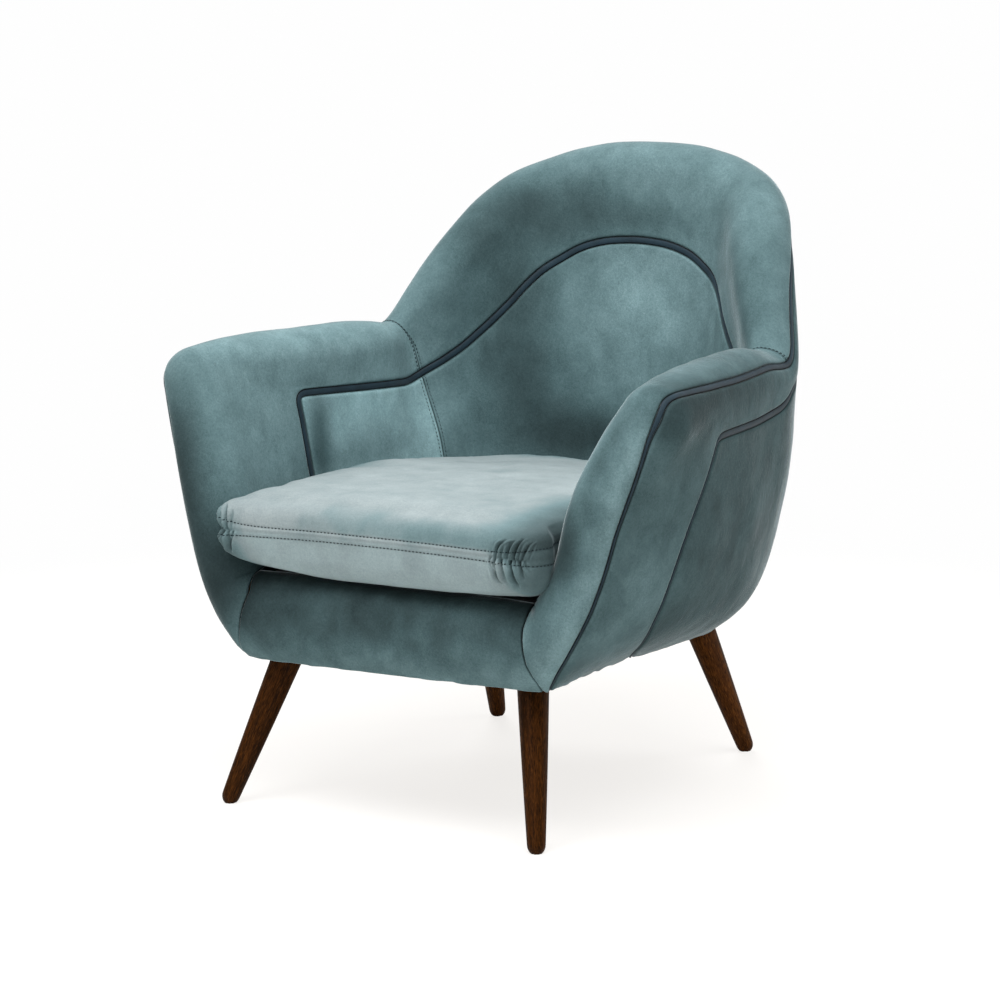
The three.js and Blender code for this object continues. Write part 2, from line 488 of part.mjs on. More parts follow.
// ---------------------------------------------------------------- boards inside the wall
// a board centred on the middle surface: across it runs from `out` mm beyond the free edge to
// `inn` mm short of it
function board(stations, out, inn) {
  return slab(stations.map((st) => {
    const f = frameAt(st.u, st.v);
    const crest = rollPoint(st, 0).n;
    const k = st.a === 0 ? f.du.length() : f.dv.length();
    const g = st.a === 0 ? frameAt(st.u + inn / k, st.v) : frameAt(st.u, st.v - inn / k);
    const up = (p, n) => ({ p: p.clone().addScaledVector(n, BOARD), n });
    return [up(f.p.clone().addScaledVector(crest, out), f.n), up(f.p, f.n), up(g.p, g.n)];
  }), 2 * BOARD, { both: stations[0].u < 1 && stations[stations.length - 1].u > 1 });
}
{
  const post = board([0.018, 0.1, 0.2, 0.35, 0.5, 0.65, 0.8, 0.9, 0.975].map((v) => ({ u: 0, v, a: 0 })), 15, 42);
  add('arm_post_right', post, 'beech');
  add('arm_post_left', mirrorX(post), 'beech');
  const arm = board([0.068, 0.14, 0.22, 0.3, 0.38, 0.46, 0.53].map((u) => ({ u, v: 1, a: 1 })), 15, 42);
  add('arm_rail_right', arm, 'beech');
  add('arm_rail_left', mirrorX(arm), 'beech');
  const rows = [0.03, 0.12, 0.24, 0.38, 0.52, 0.66, 0.8, 0.9].map((v) => [0.536, 0.565, 0.594].map((u) => {
    const f = frameAt(u, v);
    return { p: f.p.clone().addScaledVector(f.n, BOARD), n: f.n };
  }));
  // the foot of the post laps over the side rail and the corner block
  const lap = box(100, SIDE_X + RAIL_T + 0.4, 60, 182.5, RAIL_Z0 - 10, RAIL_Z0 + RAIL_H + 0.4);
  const backPost = fromSolid(solid(slab(rows, 2 * BOARD)).subtract(solid(lap)));
  add('back_post_right', backPost, 'beech');
  add('back_post_left', mirrorX(backPost), 'beech');
  const us = [0.598, 0.62, 0.645, 0.675, 0.71, 0.75, 0.8, 0.86, 0.93, 1];
  const bow = [...us, ...us.slice(0, -1).reverse().map((u) => 2 - u)];
  add('back_top_rail', board(bow.map((u) => ({ u, v: 1, a: 1 })), 15, 42), 'beech');
  const cross = [0.598, 0.65, 0.71, 0.78, 0.85, 0.93, 1];
  const xs = [...cross, ...cross.slice(0, -1).reverse().map((u) => 2 - u)];
  add('back_mid_rail', slab(xs.map((u) => [0.44, 0.515].map((v) => {
    const f = frameAt(u, v);
    return { p: f.p.clone().addScaledVector(f.n, BOARD), n: f.n };
  })), 2 * BOARD, { both: true }), 'beech');
}

// ---------------------------------------------------------------- seat frame, legs, plates, bolts
const railTop = RAIL_Z0 + RAIL_H;
const axisOf = (leg, sx, z) => V3(sx * lerp(leg.foot[0], leg.at190[0], z / 190), lerp(leg.foot[1], leg.at190[1], z / 190), z);
const SIDE_END = 126.5; // rear end of the side rails
const BLOCK_Y = 127;
const rearBlock = (sx) => {
  const g = prism([[131, BLOCK_Y], [SIDE_X + RAIL_T, BLOCK_Y], [SIDE_X + RAIL_T, 152], [178, 182], [131, 182]], RAIL_Z0, RAIL_Z0 + 66);
  return sx > 0 ? g : mirrorX(g);
};
const bolt = (leg, sx) => {
  const a = axisOf(leg, sx, RAIL_Z0 - 28), b = axisOf(leg, sx, RAIL_Z0 + 27);
  return { a, b };
};
const HOLE = 4.1, BOLT_R = 3.75;
const drill = (geometry, leg, sx) => {
  const { a, b } = bolt(leg, sx);
  const d = b.clone().sub(a).normalize();
  return fromSolid(solid(geometry).subtract(solid(rod(a.clone().addScaledVector(d, -40), b.clone().addScaledVector(d, 2), HOLE, 12))));
};
for (const [side, sx] of [['right', 1], ['left', -1]]) {
  const rail = box(SIDE_X, SIDE_X + RAIL_T, FRONT_Y, SIDE_END, RAIL_Z0, railTop);
  const g = sx > 0 ? rail : mirrorX(rail);
  add(`side_rail_${side}`, drill(g, LEG_FRONT, sx), 'beech');
  add(`corner_block_rear_${side}`, drill(rearBlock(sx), LEG_REAR, sx), 'beech');
  const tri = prism([[SIDE_X - 0.3, FRONT_Y + RAIL_T + 0.3], [SIDE_X - 0.3, FRONT_Y + RAIL_T + 46], [SIDE_X - 46, FRONT_Y + RAIL_T + 0.3]], RAIL_Z0, RAIL_Z0 + 60);
  add(`corner_block_front_${side}`, sx > 0 ? tri : mirrorX(tri), 'beech');
}
add('front_rail', box(-SIDE_X + 0.3, SIDE_X - 0.3, FRONT_Y, FRONT_Y + RAIL_T, RAIL_Z0, railTop), 'beech');
add('rear_rail', box(-130.7, 130.7, REAR_Y, REAR_Y + RAIL_T, RAIL_Z0, railTop), 'beech');

const plateTop = RAIL_Z0 - 0.3, plateBottom = plateTop - PLATE_T, legTop = plateBottom - 0.3;
function legSolid(leg, sx) {
  // turned about its own axis, rounded at the foot, then cut level under the plate and at the floor
  const a = axisOf(leg, sx, 0), b = axisOf(leg, sx, legTop);
  const d = b.clone().sub(a), L = d.length();
  d.normalize();
  const R = LEG_R_FOOT;
  const profile = [[0, -1.8]];
  for (const t of [25, 50, 72, 90]) profile.push([R * Math.sin(t * Math.PI / 180), -1.8 + R - R * Math.cos(t * Math.PI / 180)]);
  profile.push([lerp(R, LEG_R_TOP, 0.5), L * 0.52], [LEG_R_TOP, L + 16], [0, L + 16]);
  const g = new THREE.LatheGeometry(profile.map(([x, y]) => new THREE.Vector2(x, y)), 20);
  g.applyQuaternion(new THREE.Quaternion().setFromUnitVectors(V3(0, 1, 0), d)).translate(a.x, a.y, a.z);
  const keep = solid(box(a.x - 120, a.x + 120, a.y - 160, a.y + 160, 0, legTop));
  let s = solid(g);
  if (s.volume() < 0) throw new Error('leg profile runs the wrong way');
  s = s.intersect(keep);
  const q = bolt(leg, sx);
  return fromSolid(s.subtract(solid(rod(q.a.clone().addScaledVector(d, -2), q.b, HOLE, 12))));
}
for (const [pos, leg] of [['front', LEG_FRONT], ['rear', LEG_REAR]]) {
  for (const [side, sx] of [['right', 1], ['left', -1]]) {
    add(`leg_${pos}_${side}`, legSolid(leg, sx), 'walnut');
    const c = axisOf(leg, sx, plateBottom);
    const plate = rod(V3(c.x, c.y, plateBottom), V3(c.x, c.y, plateTop), 23.5, 20);
    add(`leg_plate_${pos}_${side}`, drill(plate, leg, sx), 'zinc');
    const q = bolt(leg, sx);
    add(`leg_bolt_${pos}_${side}`, rod(q.a, q.b, BOLT_R, 12), 'zinc');
  }
}

// ---------------------------------------------------------------- springs, deck, dust cover
[-105, -35, 35, 105].forEach((x, k) => {
  const y0 = FRONT_Y + 10, y1 = REAR_Y + 14, n = 12;
  const pts = [];
  for (let i = 0; i <= n; i++) {
    const y = lerp(y0, y1, i / n), z = railTop + 2.4 + 10.5 * Math.sin(Math.PI * Math.min(1, Math.max(0, (y - y0 - 20) / (y1 - y0 - 40))));
    const s = i % 2 ? 1 : -1;
    if (i === 0 || i === n) pts.push(V3(x + s * 16, y, z));
    else pts.push(V3(x + s * 21, y - 9, z), V3(x + s * 21, y + 9, z));
  }
  const section = new THREE.Shape();
  for (let i = 0; i < 6; i++) {
    const t = i * Math.PI / 3;
    if (i === 0) section.moveTo(1.8 * Math.cos(t), 1.8 * Math.sin(t));
    else section.lineTo(1.8 * Math.cos(t), 1.8 * Math.sin(t));
  }
  const curve = new THREE.CatmullRomCurve3(pts, false, 'catmullrom', 0.4);
  add(`seat_spring_${k + 1}`, new THREE.ExtrudeGeometry(section, { steps: 40, extrudePath: curve, bevelEnabled: false }), 'spring');
});
// height of the wall's inner face: the v at which it reaches z
function innerAt(u, z) {
  let lo = 0, hi = 1;
  for (let i = 0; i < 40; i++) {
    const m = (lo + hi) / 2;
    if (wallPoint(u, m, -1).p.z < z) lo = m; else hi = m;
  }
  return wallPoint(u, (lo + hi) / 2, -1);
}
function inset(u, z, c) { // [x, y] c mm inside the wall's inner face
  const w = innerAt(u, z);
  const n = V3(w.n.x, w.n.y, 0).normalize();
  return [w.p.x + n.x * c, w.p.y + n.y * c];
}
{
  const us = [0.03, 0.15, 0.28, 0.4, 0.5, 0.58, 0.66, 0.74, 0.83, 0.92];
  const right = [[195, -337], ...us.map((u) => inset(u, DECK_Z - 2, 7))];
  const outline = [...right, inset(1, DECK_Z - 2, 7), ...right.slice().reverse().map(([x, y]) => [-x, y])];
  add('seat_deck', prism(outline, DECK_Z, DECK_Z + DECK_T), 'deck');
  const bus = [0.1, 0.25, 0.4, 0.5, 0.58, 0.66, 0.74, 0.83, 0.92];
  const low = (u) => { const w = wallPoint(u, 0, 1); const n = V3(w.n.x, w.n.y, 0).normalize(); return [w.p.x - n.x * 19, w.p.y - n.y * 19]; };
  const dr = [[200, -346], ...bus.map(low)];
  const dust = [...dr, low(1), ...dr.slice().reverse().map(([x, y]) => [-x, y])];
  let s = solid(prism(dust, RAIL_Z0 - 1.6, RAIL_Z0 - 0.3));
  for (const leg of [LEG_FRONT, LEG_REAR]) {
    for (const sx of [1, -1]) {
      const c = axisOf(leg, sx, plateBottom);
      s = s.subtract(solid(rod(V3(c.x, c.y, RAIL_Z0 - 6), V3(c.x, c.y, RAIL_Z0 + 4), 24.2, 20)));
    }
  }
  add('dust_cover', fromSolid(s), 'dust');
}

// ---------------------------------------------------------------- loose seat cushion
const CUSH_US = [0.06, 0.14, 0.24, 0.34, 0.44, 0.53, 0.62, 0.71, 0.78];
const ZIP_HALF = 96, REAR_LINE = 219.5;
// the roll of the arm front at height z, c mm clear of it, deg measured from its crest
function rollAt(deg, z, c) {
  let lo = 0, hi = 1;
  for (let i = 0; i < 40; i++) {
    const m = (lo + hi) / 2;
    if (rollPoint({ u: 0, v: m, a: 0 }, deg).p.z < z) lo = m; else hi = m;
  }
  const w = rollPoint({ u: 0, v: (lo + hi) / 2, a: 0 }, deg);
  const n = V3(w.n.x, w.n.y, 0).normalize();
  return [w.p.x + n.x * c, w.p.y + n.y * c];
}
function insetAtX(x, z, c) {
  let lo = 0.75, hi = 1;
  for (let i = 0; i < 30; i++) {
    const m = (lo + hi) / 2;
    if (inset(m, z, c)[0] > x) lo = m; else hi = m;
  }
  return inset((lo + hi) / 2, z, c)[1];
}
// one level loop of the cushion: c mm clear of the wall, with its front line at yf, drawn in by d
function cushionLoop(z, clear, front, d = 0) {
  const c = clear + d, yf = front + d * 1.15, rear = REAR_LINE - d;
  let deg = -36; // the front corner sits on the arm's roll, behind the front line
  while (deg > -76 && rollAt(deg, z, c + 1.5)[1] < yf + 16) deg -= 4;
  const [ax, ay] = rollAt(deg, z, c + 1.5);
  const half = [[0, yf], [0.45 * ax, yf + 0.3], [ax - 34, yf + 2], [ax - 12, yf + 8], [ax - 2, lerp(yf, ay, 0.6)], [ax, ay]];
  half.push(rollAt(lerp(deg, -88, 0.46), z, c), rollAt(-88, z, c));
  half.push(...CUSH_US.map((u) => inset(u, z, c)));
  half.push(...[105, 52, 0].map((x) => [x, Math.min(rear, insetAtX(x, z, c))]));
  const left = half.slice(1, -1).reverse().map(([x, y]) => [-x, y]);
  return [...half, ...left].map(([x, y]) => V3(x, y, z));
}
function loft(loops, bottom, top) {
  const n = loops[0].length;
  const verts = [bottom, ...loops.flat(), top];
  const tris = [];
  const at = (i, j) => 1 + i * n + (j % n);
  for (let j = 0; j < n; j++) {
    tris.push([0, at(0, j + 1), at(0, j)]);
    tris.push([verts.length - 1, at(loops.length - 1, j), at(loops.length - 1, j + 1)]);
    for (let i = 0; i < loops.length - 1; i++) tris.push([at(i, j), at(i, j + 1), at(i + 1, j + 1)], [at(i, j), at(i + 1, j + 1), at(i + 1, j)]);
  }
  return geometryOf(verts, tris);
}
const shrink = (loop, k, z) => loop.map((p) => V3(p.x * k, lerp(-70, p.y, k), z));
const RINGS = [[CUSHION_Z, 20, -371], [320.5, 9, -384], [331, 4, -394], [352, 3, -398], [378, 3, -399], [396, 4, -396], [408, 12, -388], [417, 34, -366]]; // height, clearance, front line
{
  const loops = RINGS.map(([z, c, yf]) => cushionLoop(z, c, yf));
  const top = loops[loops.length - 1];
  const outer = loft([...loops, shrink(top, 0.66, 425), shrink(top, 0.33, 429.5)], V3(0, -70, CUSHION_Z), V3(0, -70, 431));
  const T = 2.6;
  const inLoops = (d, dz) => {
    const l = RINGS.map(([z, c, yf], i) => cushionLoop(z, c, yf, i === 0 || i === RINGS.length - 1 ? d + 2 : d).map((p) => V3(p.x, p.y, p.z + (i === 0 ? dz : i === RINGS.length - 1 ? -dz : 0))));
    const t = l[l.length - 1];
    return loft([...l, shrink(t, 0.66, 425 - dz), shrink(t, 0.33, 429.5 - dz)], V3(0, -70, CUSHION_Z + dz), V3(0, -70, 431 - dz));
  };
  // the zip's slot in the middle of the rear edge
  const slot = box(-ZIP_HALF, ZIP_HALF, REAR_LINE - 12, REAR_LINE + 4, 371, 379);
  add('cushion_cover', fromSolid(solid(outer).subtract(solid(inLoops(T, T))).subtract(solid(slot))), 'cushion');
  add('cushion_foam_core', inLoops(T + 1.1, T + 1.1), 'foam');
  add('zip_tape', box(-ZIP_HALF + 0.4, ZIP_HALF - 0.4, REAR_LINE - T + 0.1, REAR_LINE - 0.3, 371.4, 378.6), 'tape');
  // slider body with its pull tab hanging from a bridge
  const sz = 375, sy = REAR_LINE;
  const sl = solid(box(78, 90, sy + 0.1, sy + 1.6, sz - 4.2, sz + 4.2)).add(solid(box(79, 81.5, sy + 1.5, sy + 2.2, sz - 2, sz + 2))).add(solid(box(79, 81.5, sy + 2.1, sy + 2.9, sz - 11, sz + 2)));
  add('zip_slider', fromSolid(sl), 'zinc');
}

export default group;
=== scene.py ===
import math

import bpy
import bmesh
import numpy as np
from mathutils import Matrix, Quaternion, Vector
from mathutils.bvhtree import BVHTree


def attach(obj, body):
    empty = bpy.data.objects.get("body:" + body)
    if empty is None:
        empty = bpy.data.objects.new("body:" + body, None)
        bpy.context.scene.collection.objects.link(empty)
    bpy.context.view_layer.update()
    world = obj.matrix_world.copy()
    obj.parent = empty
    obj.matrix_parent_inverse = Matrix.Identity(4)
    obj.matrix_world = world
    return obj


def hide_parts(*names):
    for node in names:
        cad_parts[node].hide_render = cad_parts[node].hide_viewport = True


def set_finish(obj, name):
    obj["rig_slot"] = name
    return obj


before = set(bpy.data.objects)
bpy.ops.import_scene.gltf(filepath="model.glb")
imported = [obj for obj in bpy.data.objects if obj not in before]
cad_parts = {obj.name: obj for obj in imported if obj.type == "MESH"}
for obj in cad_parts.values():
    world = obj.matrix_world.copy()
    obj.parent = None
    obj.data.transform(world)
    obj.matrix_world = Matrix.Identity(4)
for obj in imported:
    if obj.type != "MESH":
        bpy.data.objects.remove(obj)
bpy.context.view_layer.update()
scene = bpy.context.scene

# ------------------------------------------------------------------ camera
cam_data = bpy.data.cameras.new("camera")
cam = bpy.data.objects.new("camera", cam_data)
scene.collection.objects.link(cam)
scene.camera = cam
LOOK = Vector((-0.52247, 0.83640, -0.16573)).normalized()
TARGET = Vector((0.0, -0.0799, 0.3929))
cam.location = TARGET - LOOK * 4.651
cam.rotation_mode = "QUATERNION"
cam.rotation_quaternion = LOOK.to_track_quat("-Z", "Y")
cam_data.sensor_width = 36.0
cam_data.lens = 122.4
cam_data.clip_start, cam_data.clip_end = 0.05, 100.0

# ------------------------------------------------------------------ the wall of the tub, in mm
WALL = 45.0
PIPE_W = 9.4
HALF = PIPE_W / 2
GAP = 0.95
SEAM = 0.562
V_INNER = 0.17
UK = np.array([0, 0.09, 0.21, 0.33, 0.44, 0.52, 0.6, 0.67, 0.74, 0.84, 0.92, 1.0])
VK = np.array([0, 0.1, 0.3, 0.54, 0.77, 1.0])
NET = np.array([
    [[203.0, -330.1, 232.4], [204.0, -236.4, 243.2], [206.6, -130.8, 244.3], [206.2, -28.2, 242.7], [203.7, 57.5, 241.4], [200.5, 101.3, 239.1], [188.4, 140.8, 234.7], [166.5, 173.4, 231.3], [136.0, 198.2, 229.3], [93.9, 218.1, 228.3], [47.1, 230.0, 227.9], [0.0, 232.8, 227.9]],
    [[235.5, -337.5, 266.1], [246.3, -238.9, 271.1], [255.4, -131.4, 270.3], [256.5, -28.0, 268.5], [248.2, 58.3, 266.7], [232.3, 109.4, 267.6], [208.2, 150.8, 271.0], [180.8, 184.9, 274.6], [148.3, 211.5, 278.9], [102.8, 234.9, 282.4], [51.7, 246.9, 284.1], [0.0, 249.5, 284.6]],
    [[279.2, -327.7, 335.9], [296.3, -235.6, 330.1], [300.2, -132.0, 326.4], [293.5, -28.4, 324.8], [280.0, 59.4, 325.4], [263.6, 116.1, 330.1], [240.3, 166.3, 342.0], [215.8, 205.6, 356.1], [181.4, 237.6, 372.2], [124.4, 272.3, 385.0], [61.3, 282.0, 390.9], [0.0, 279.6, 392.6]],
    [[303.0, -323.5, 419.1], [317.7, -232.5, 411.8], [319.0, -131.7, 406.9], [309.4, -29.2, 405.2], [295.0, 58.6, 406.0], [282.3, 118.8, 412.1], [260.0, 173.1, 434.8], [234.0, 214.2, 463.9], [198.5, 250.4, 497.1], [136.3, 294.6, 523.1], [67.2, 306.8, 534.8], [0.0, 305.9, 538.0]],
    [[329.4, -308.7, 492.6], [332.8, -226.0, 488.6], [327.5, -130.3, 485.8], [316.1, -30.3, 484.4], [302.9, 55.2, 483.0], [293.1, 113.0, 486.1], [271.8, 165.6, 515.9], [247.4, 210.6, 562.1], [210.1, 254.6, 615.1], [144.9, 309.4, 655.0], [71.8, 326.3, 671.9], [0.0, 328.7, 676.1]],
    [[360.7, -285.1, 557.0], [348.6, -216.1, 563.1], [335.0, -128.1, 565.5], [321.6, -31.5, 565.3], [309.7, 50.1, 561.7], [302.8, 99.4, 556.0], [289.0, 144.3, 579.9], [260.4, 189.9, 650.8], [219.3, 256.0, 733.0], [155.4, 326.3, 786.2], [76.2, 344.9, 807.6], [0.0, 349.5, 811.9]],
])
LEG_LINE = [[0, 0.225], [0.3, 0.222], [0.54, 0.211], [0.66, 0.206], [0.77, 0.2], [0.84, 0.196]]
INNER_LINE = [[0.196, 0.862], [0.21, 0.874], [0.3, 0.873], [0.4, 0.868], [0.48, 0.869], [0.56, 0.856], [0.616, 0.823], [0.664, 0.792], [0.71, 0.77], [0.745, 0.772], [0.777, 0.788], [0.813, 0.801], [0.858, 0.809], [0.897, 0.823], [0.94, 0.831], [1, 0.834]]
OUTER2_LEG = [[0, 0.232], [0.05, 0.185], [0.108, 0.15], [0.214, 0.117], [0.314, 0.107], [0.406, 0.109], [0.51, 0.119], [0.612, 0.133], [0.713, 0.149], [0.787, 0.161], [0.84, 0.17]]
OUTER2_LINE = [[0.172, 0.868], [0.19, 0.878], [0.283, 0.878], [0.367, 0.882], [0.451, 0.904], [0.504, 0.936], [0.54, 0.972], [0.57, 0.978], [0.6, 0.965], [0.64, 0.945], [0.7, 0.918], [0.78, 0.895], [0.88, 0.882], [1, 0.88]]
T1_LEG = [[0, 78], [0.06, 70], [0.13, 65], [0.3, 63], [0.52, 66], [0.65, 62], [0.74, 54], [0.83, 41], [0.92, 24], [1, 11]]
T1_FAN = [[0, 11], [0.5, 4], [1, 10]]
T1_TOP = [[0, 10], [0.045, 27], [0.09, 41], [0.21, 56], [0.33, 58], [0.45, 52], [0.52, 49], [0.6, 52], [0.645, 55], [0.68, 62], [0.71, 72], [0.74, 80], [0.78, 82], [0.88, 80], [1, 77]]
APRON_T = [[0, 66], [0.035, 42], [0.06, 12], [0.085, -12], [0.11, -38], [0.14, -54], [0.17, -78]]


def second(xk):
    n = len(xk)
    a, r = np.zeros((n, n)), np.zeros((n, n))
    a[0, 0] = a[-1, -1] = 1
    for i in range(1, n - 1):
        p, q = xk[i] - xk[i - 1], xk[i + 1] - xk[i]
        a[i, i - 1], a[i, i], a[i, i + 1] = p, 2 * (p + q), q
        r[i, i + 1] += 6 / q
        r[i, i] -= 6 / q + 6 / p
        r[i, i - 1] += 6 / p
    return np.linalg.solve(a, r)


UKF = np.concatenate([UK, 2 - UK[-2::-1]])
NETF = np.concatenate([NET, NET[:, -2::-1] * np.array([-1, 1, 1])], axis=1)
DU, DV = second(UKF), second(VK)


def weights(xk, d, x):
    i = np.clip(np.searchsorted(xk, x, side="left") - 1, 0, len(xk) - 2)
    h = xk[i + 1] - xk[i]
    t, a = x - xk[i], xk[i + 1] - x
    w = d[i] * (a ** 3 / (6 * h) - h * a / 6)[:, None] + d[i + 1] * (t ** 3 / (6 * h) - h * t / 6)[:, None]
    k = np.arange(len(x))
    w[k, i] += a / h
    w[k, i + 1] += t / h
    return w


def mid(u, v):
    wu, wv = weights(UKF, DU, u), weights(VK, DV, v)
    cols = np.einsum("ni,ijk->njk", wv, NETF)
    return np.einsum("nj,njk->nk", wu, cols)


E = 1e-3


def unit(a):
    return a / np.maximum(np.linalg.norm(a, axis=-1, keepdims=True), 1e-12)


def frame_at(u, v):
    u, v = np.broadcast_arrays(np.atleast_1d(np.asarray(u, float)), np.atleast_1d(np.asarray(v, float)))
    shape = u.shape
    u, v = u.ravel(), v.ravel()
    p = mid(u, v)
    du = (mid(u + E, v) - mid(u - E, v)) / (2 * E)
    dv = (mid(u, v + E) - mid(u, v - E)) / (2 * E)
    n = unit(np.cross(du, dv))
    return tuple(q.reshape(shape + (3,)) for q in (p, du, dv, n))


def ease(x, lo, hi):
    x = np.clip((x - lo) / (hi - lo), 0, 1)
    return x * x * (3 - 2 * x)


THIN = np.array([0.848, 0.530, 0.0]) * 19.0


def thinner(u, v, share=1.0):
    """Where the arm on the +X side runs up into the back the padding is thinner: its inner face stands further out."""
    u, v = np.broadcast_arrays(np.atleast_1d(np.asarray(u, float)), np.atleast_1d(np.asarray(v, float)))
    return (ease(u, 0.42, 0.55) * (1 - ease(u, 0.56, 0.75)) * ease(v, 0.5, 0.8) * share)[..., None] * THIN


def wall(u, v, side):
    p, _, _, n = frame_at(u, v)
    p = p + n * side * WALL
    if side < 0:
        p = p + thinner(u, v)
    return p, n * side


def roll(u, v, a, deg):
    p, du, dv, n = frame_at(u, v)
    tu, tv = unit(du), unit(dv)
    k = np.sum(tu * tv, -1, keepdims=True)
    front, top = unit(-tu + tv * k), unit(tv - tu * k)
    a = (np.asarray(a, float) * math.pi / 2)[..., None]
    o = unit(front * np.cos(a) + top * np.sin(a))
    t = (np.asarray(deg, float) * math.pi / 180)[..., None]
    m = unit(o * np.cos(t) + n * np.sin(t))
    return p + m * WALL + thinner(u, v, ease(-np.asarray(deg, float), 0.0, 88.0)), m


def lerp(a, b, t):
    return a + (b - a) * t


def table(rows, x):
    rows = np.array(rows, float)
    return np.interp(x, rows[:, 0], rows[:, 1])


def smooth_table(rows, x):
    """Monotone-ish smooth reading of a table (Catmull-Rom on its own knots)."""
    rows = np.array(rows, float)
    xs, ys = rows[:, 0], rows[:, 1]
    x = np.clip(np.asarray(x, float), xs[0], xs[-1])
    i = np.clip(np.searchsorted(xs, x, side="right") - 1, 0, len(xs) - 2)
    m = np.gradient(ys, xs)
    h = xs[i + 1] - xs[i]
    t = (x - xs[i]) / h
    t2, t3 = t * t, t * t * t
    return (2 * t3 - 3 * t2 + 1) * ys[i] + (t3 - 2 * t2 + t) * h * m[i] + (-2 * t3 + 3 * t2) * ys[i + 1] + (t3 - t2) * h * m[i + 1]


def densify(rows, m):
    rows = np.array(rows, float)
    out = []
    for i in range(len(rows) - 1):
        a, b, c, d = rows[max(i - 1, 0)], rows[i], rows[i + 1], rows[min(i + 2, len(rows) - 1)]
        for k in range(m):
            t = k / m
            m0, m1 = (c - a) / 2, (d - b) / 2
            t2, t3 = t * t, t ** 3
            out.append((2 * t3 - 3 * t2 + 1) * b + (t3 - 2 * t2 + t) * m0 + (-2 * t3 + 3 * t2) * c + (t3 - t2) * m1)
    out.append(rows[-1])
    return np.array(out)


inner_ctrl = [[u, v] for v, u in LEG_LINE if v < 0.8] + [[0.1955, 0.832], [0.1975, 0.858], [0.207, 0.872], [0.226, 0.8755]] + [p for p in INNER_LINE if p[0] > 0.25]
outer_ctrl = [[u, v] for v, u in OUTER2_LEG if v < 0.82] + [[0.168, 0.845], [0.1735, 0.867], [0.187, 0.8775], [0.21, 0.879]] + [p for p in OUTER2_LINE if p[0] > 0.25]
K = 8  # points of a fine line for each point of the coarse one


class Line:
    def __init__(self, ctrl):
        self.coarse, self.fine = densify(ctrl, 2), densify(ctrl, 2 * K)
        q = self.coarse[:, 1] - 1.3 * self.coarse[:, 0]
        q[self.coarse[:, 0] >= 0.3] = -1e9
        self.corner = int(np.argmax(q))

    def at(self, t):
        x = np.clip(np.asarray(t, float) * K, 0, len(self.fine) - 1)
        k = np.arange(len(self.fine))
        return np.interp(x, k, self.fine[:, 0]), np.interp(x, k, self.fine[:, 1])

    def end(self):
        return (len(self.fine) - 1) / K

    def position(self, u, v, a):
        """Where on the line a station of the free edge looks across to."""
        c = self.coarse
        lo, hi = self.corner - 3, self.corner + 3
        if a == 0 and v < 1:
            w = v if v <= 0.17 else lerp(0.17, c[lo][1], (v - 0.17) / 0.83)
            return float(np.interp(w, c[: lo + 1, 1], np.arange(lo + 1)))
        if u == 0:
            return lerp(lo, hi, a)
        w = u + c[hi][0] * max(0.0, 1 - u / 0.5) ** 1.5
        return float(np.interp(w, c[hi:, 0], np.arange(hi, len(c))))

    def beside(self, side, t, d):
        t, d = np.broadcast_arrays(np.asarray(t, float), np.asarray(d, float))
        u, v = self.at(t)
        ua, va = self.at(t - 0.6)
        ub, vb = self.at(t + 0.6)
        tu, tv = ub - ua, np.where(u > 0.99, 0.0, vb - va)
        pu = (wall(u + E, v, side)[0] - wall(u - E, v, side)[0]) / (2 * E)
        pv = (wall(u, v + E, side)[0] - wall(u, v - E, side)[0]) / (2 * E)
        s = unit(np.cross(unit(pu * tu[..., None] + pv * tv[..., None]), frame_at(u, v)[3]))
        A, B, C = np.sum(pu * pu, -1), np.sum(pu * pv, -1), np.sum(pv * pv, -1)
        x, y = np.sum(s * pu, -1) * d, np.sum(s * pv, -1) * d
        det = A * C - B * B
        return u + (x * C - y * B) / det, v + (A * y - B * x) / det


INNER, OUTER2 = Line(inner_ctrl), Line(outer_ctrl)


TURN = [0.0]  # how much further round the arm's front corner the outer strip sits, in degrees


def outer1_angle(u, v, a):
    if u == 0 and a == 0:
        return float(smooth_table(T1_LEG, v)) + TURN[0] * float(ease(v, 0.78, 1.0))
    if u == 0:
        return float(smooth_table(T1_FAN, a)) + TURN[0]
    u = 2 - u if u > 1 else u
    return float(smooth_table(T1_TOP, u)) + TURN[0] * float(1 - ease(u, 0.0, 0.12))


# ------------------------------------------------------------------ noise in code, the same each run
def hash3(i, j, k, seed):
    h = (i.astype(np.int64) * 374761393 + j.astype(np.int64) * 668265263 + k.astype(np.int64) * 2147483647 + seed * 1274126177) & 0xFFFFFFFF
    h = ((h ^ (h >> 13)) * 1274126177) & 0xFFFFFFFF
    h = ((h ^ (h >> 16)) * 2246822519) & 0xFFFFFFFF
    return ((h ^ (h >> 15)) & 0xFFFFFF) / float(0xFFFFFF) * 2 - 1


def vnoise(p, size, seed=0):
    """Smooth noise from -1 to 1 with features of about `size`; size may be three numbers."""
    q = np.asarray(p, float) / np.asarray(size, float)
    f = np.floor(q)
    t = q - f
    t = t * t * t * (t * (t * 6 - 15) + 10)
    i, j, k = (f[..., n].astype(np.int64) for n in range(3))
    out = 0
    for a in (0, 1):
        for b in (0, 1):
            for c in (0, 1):
                w = (t[..., 0] if a else 1 - t[..., 0]) * (t[..., 1] if b else 1 - t[..., 1]) * (t[..., 2] if c else 1 - t[..., 2])
                out = out + w * hash3(i + a, j + b, k + c, seed)
    return out * 1.6


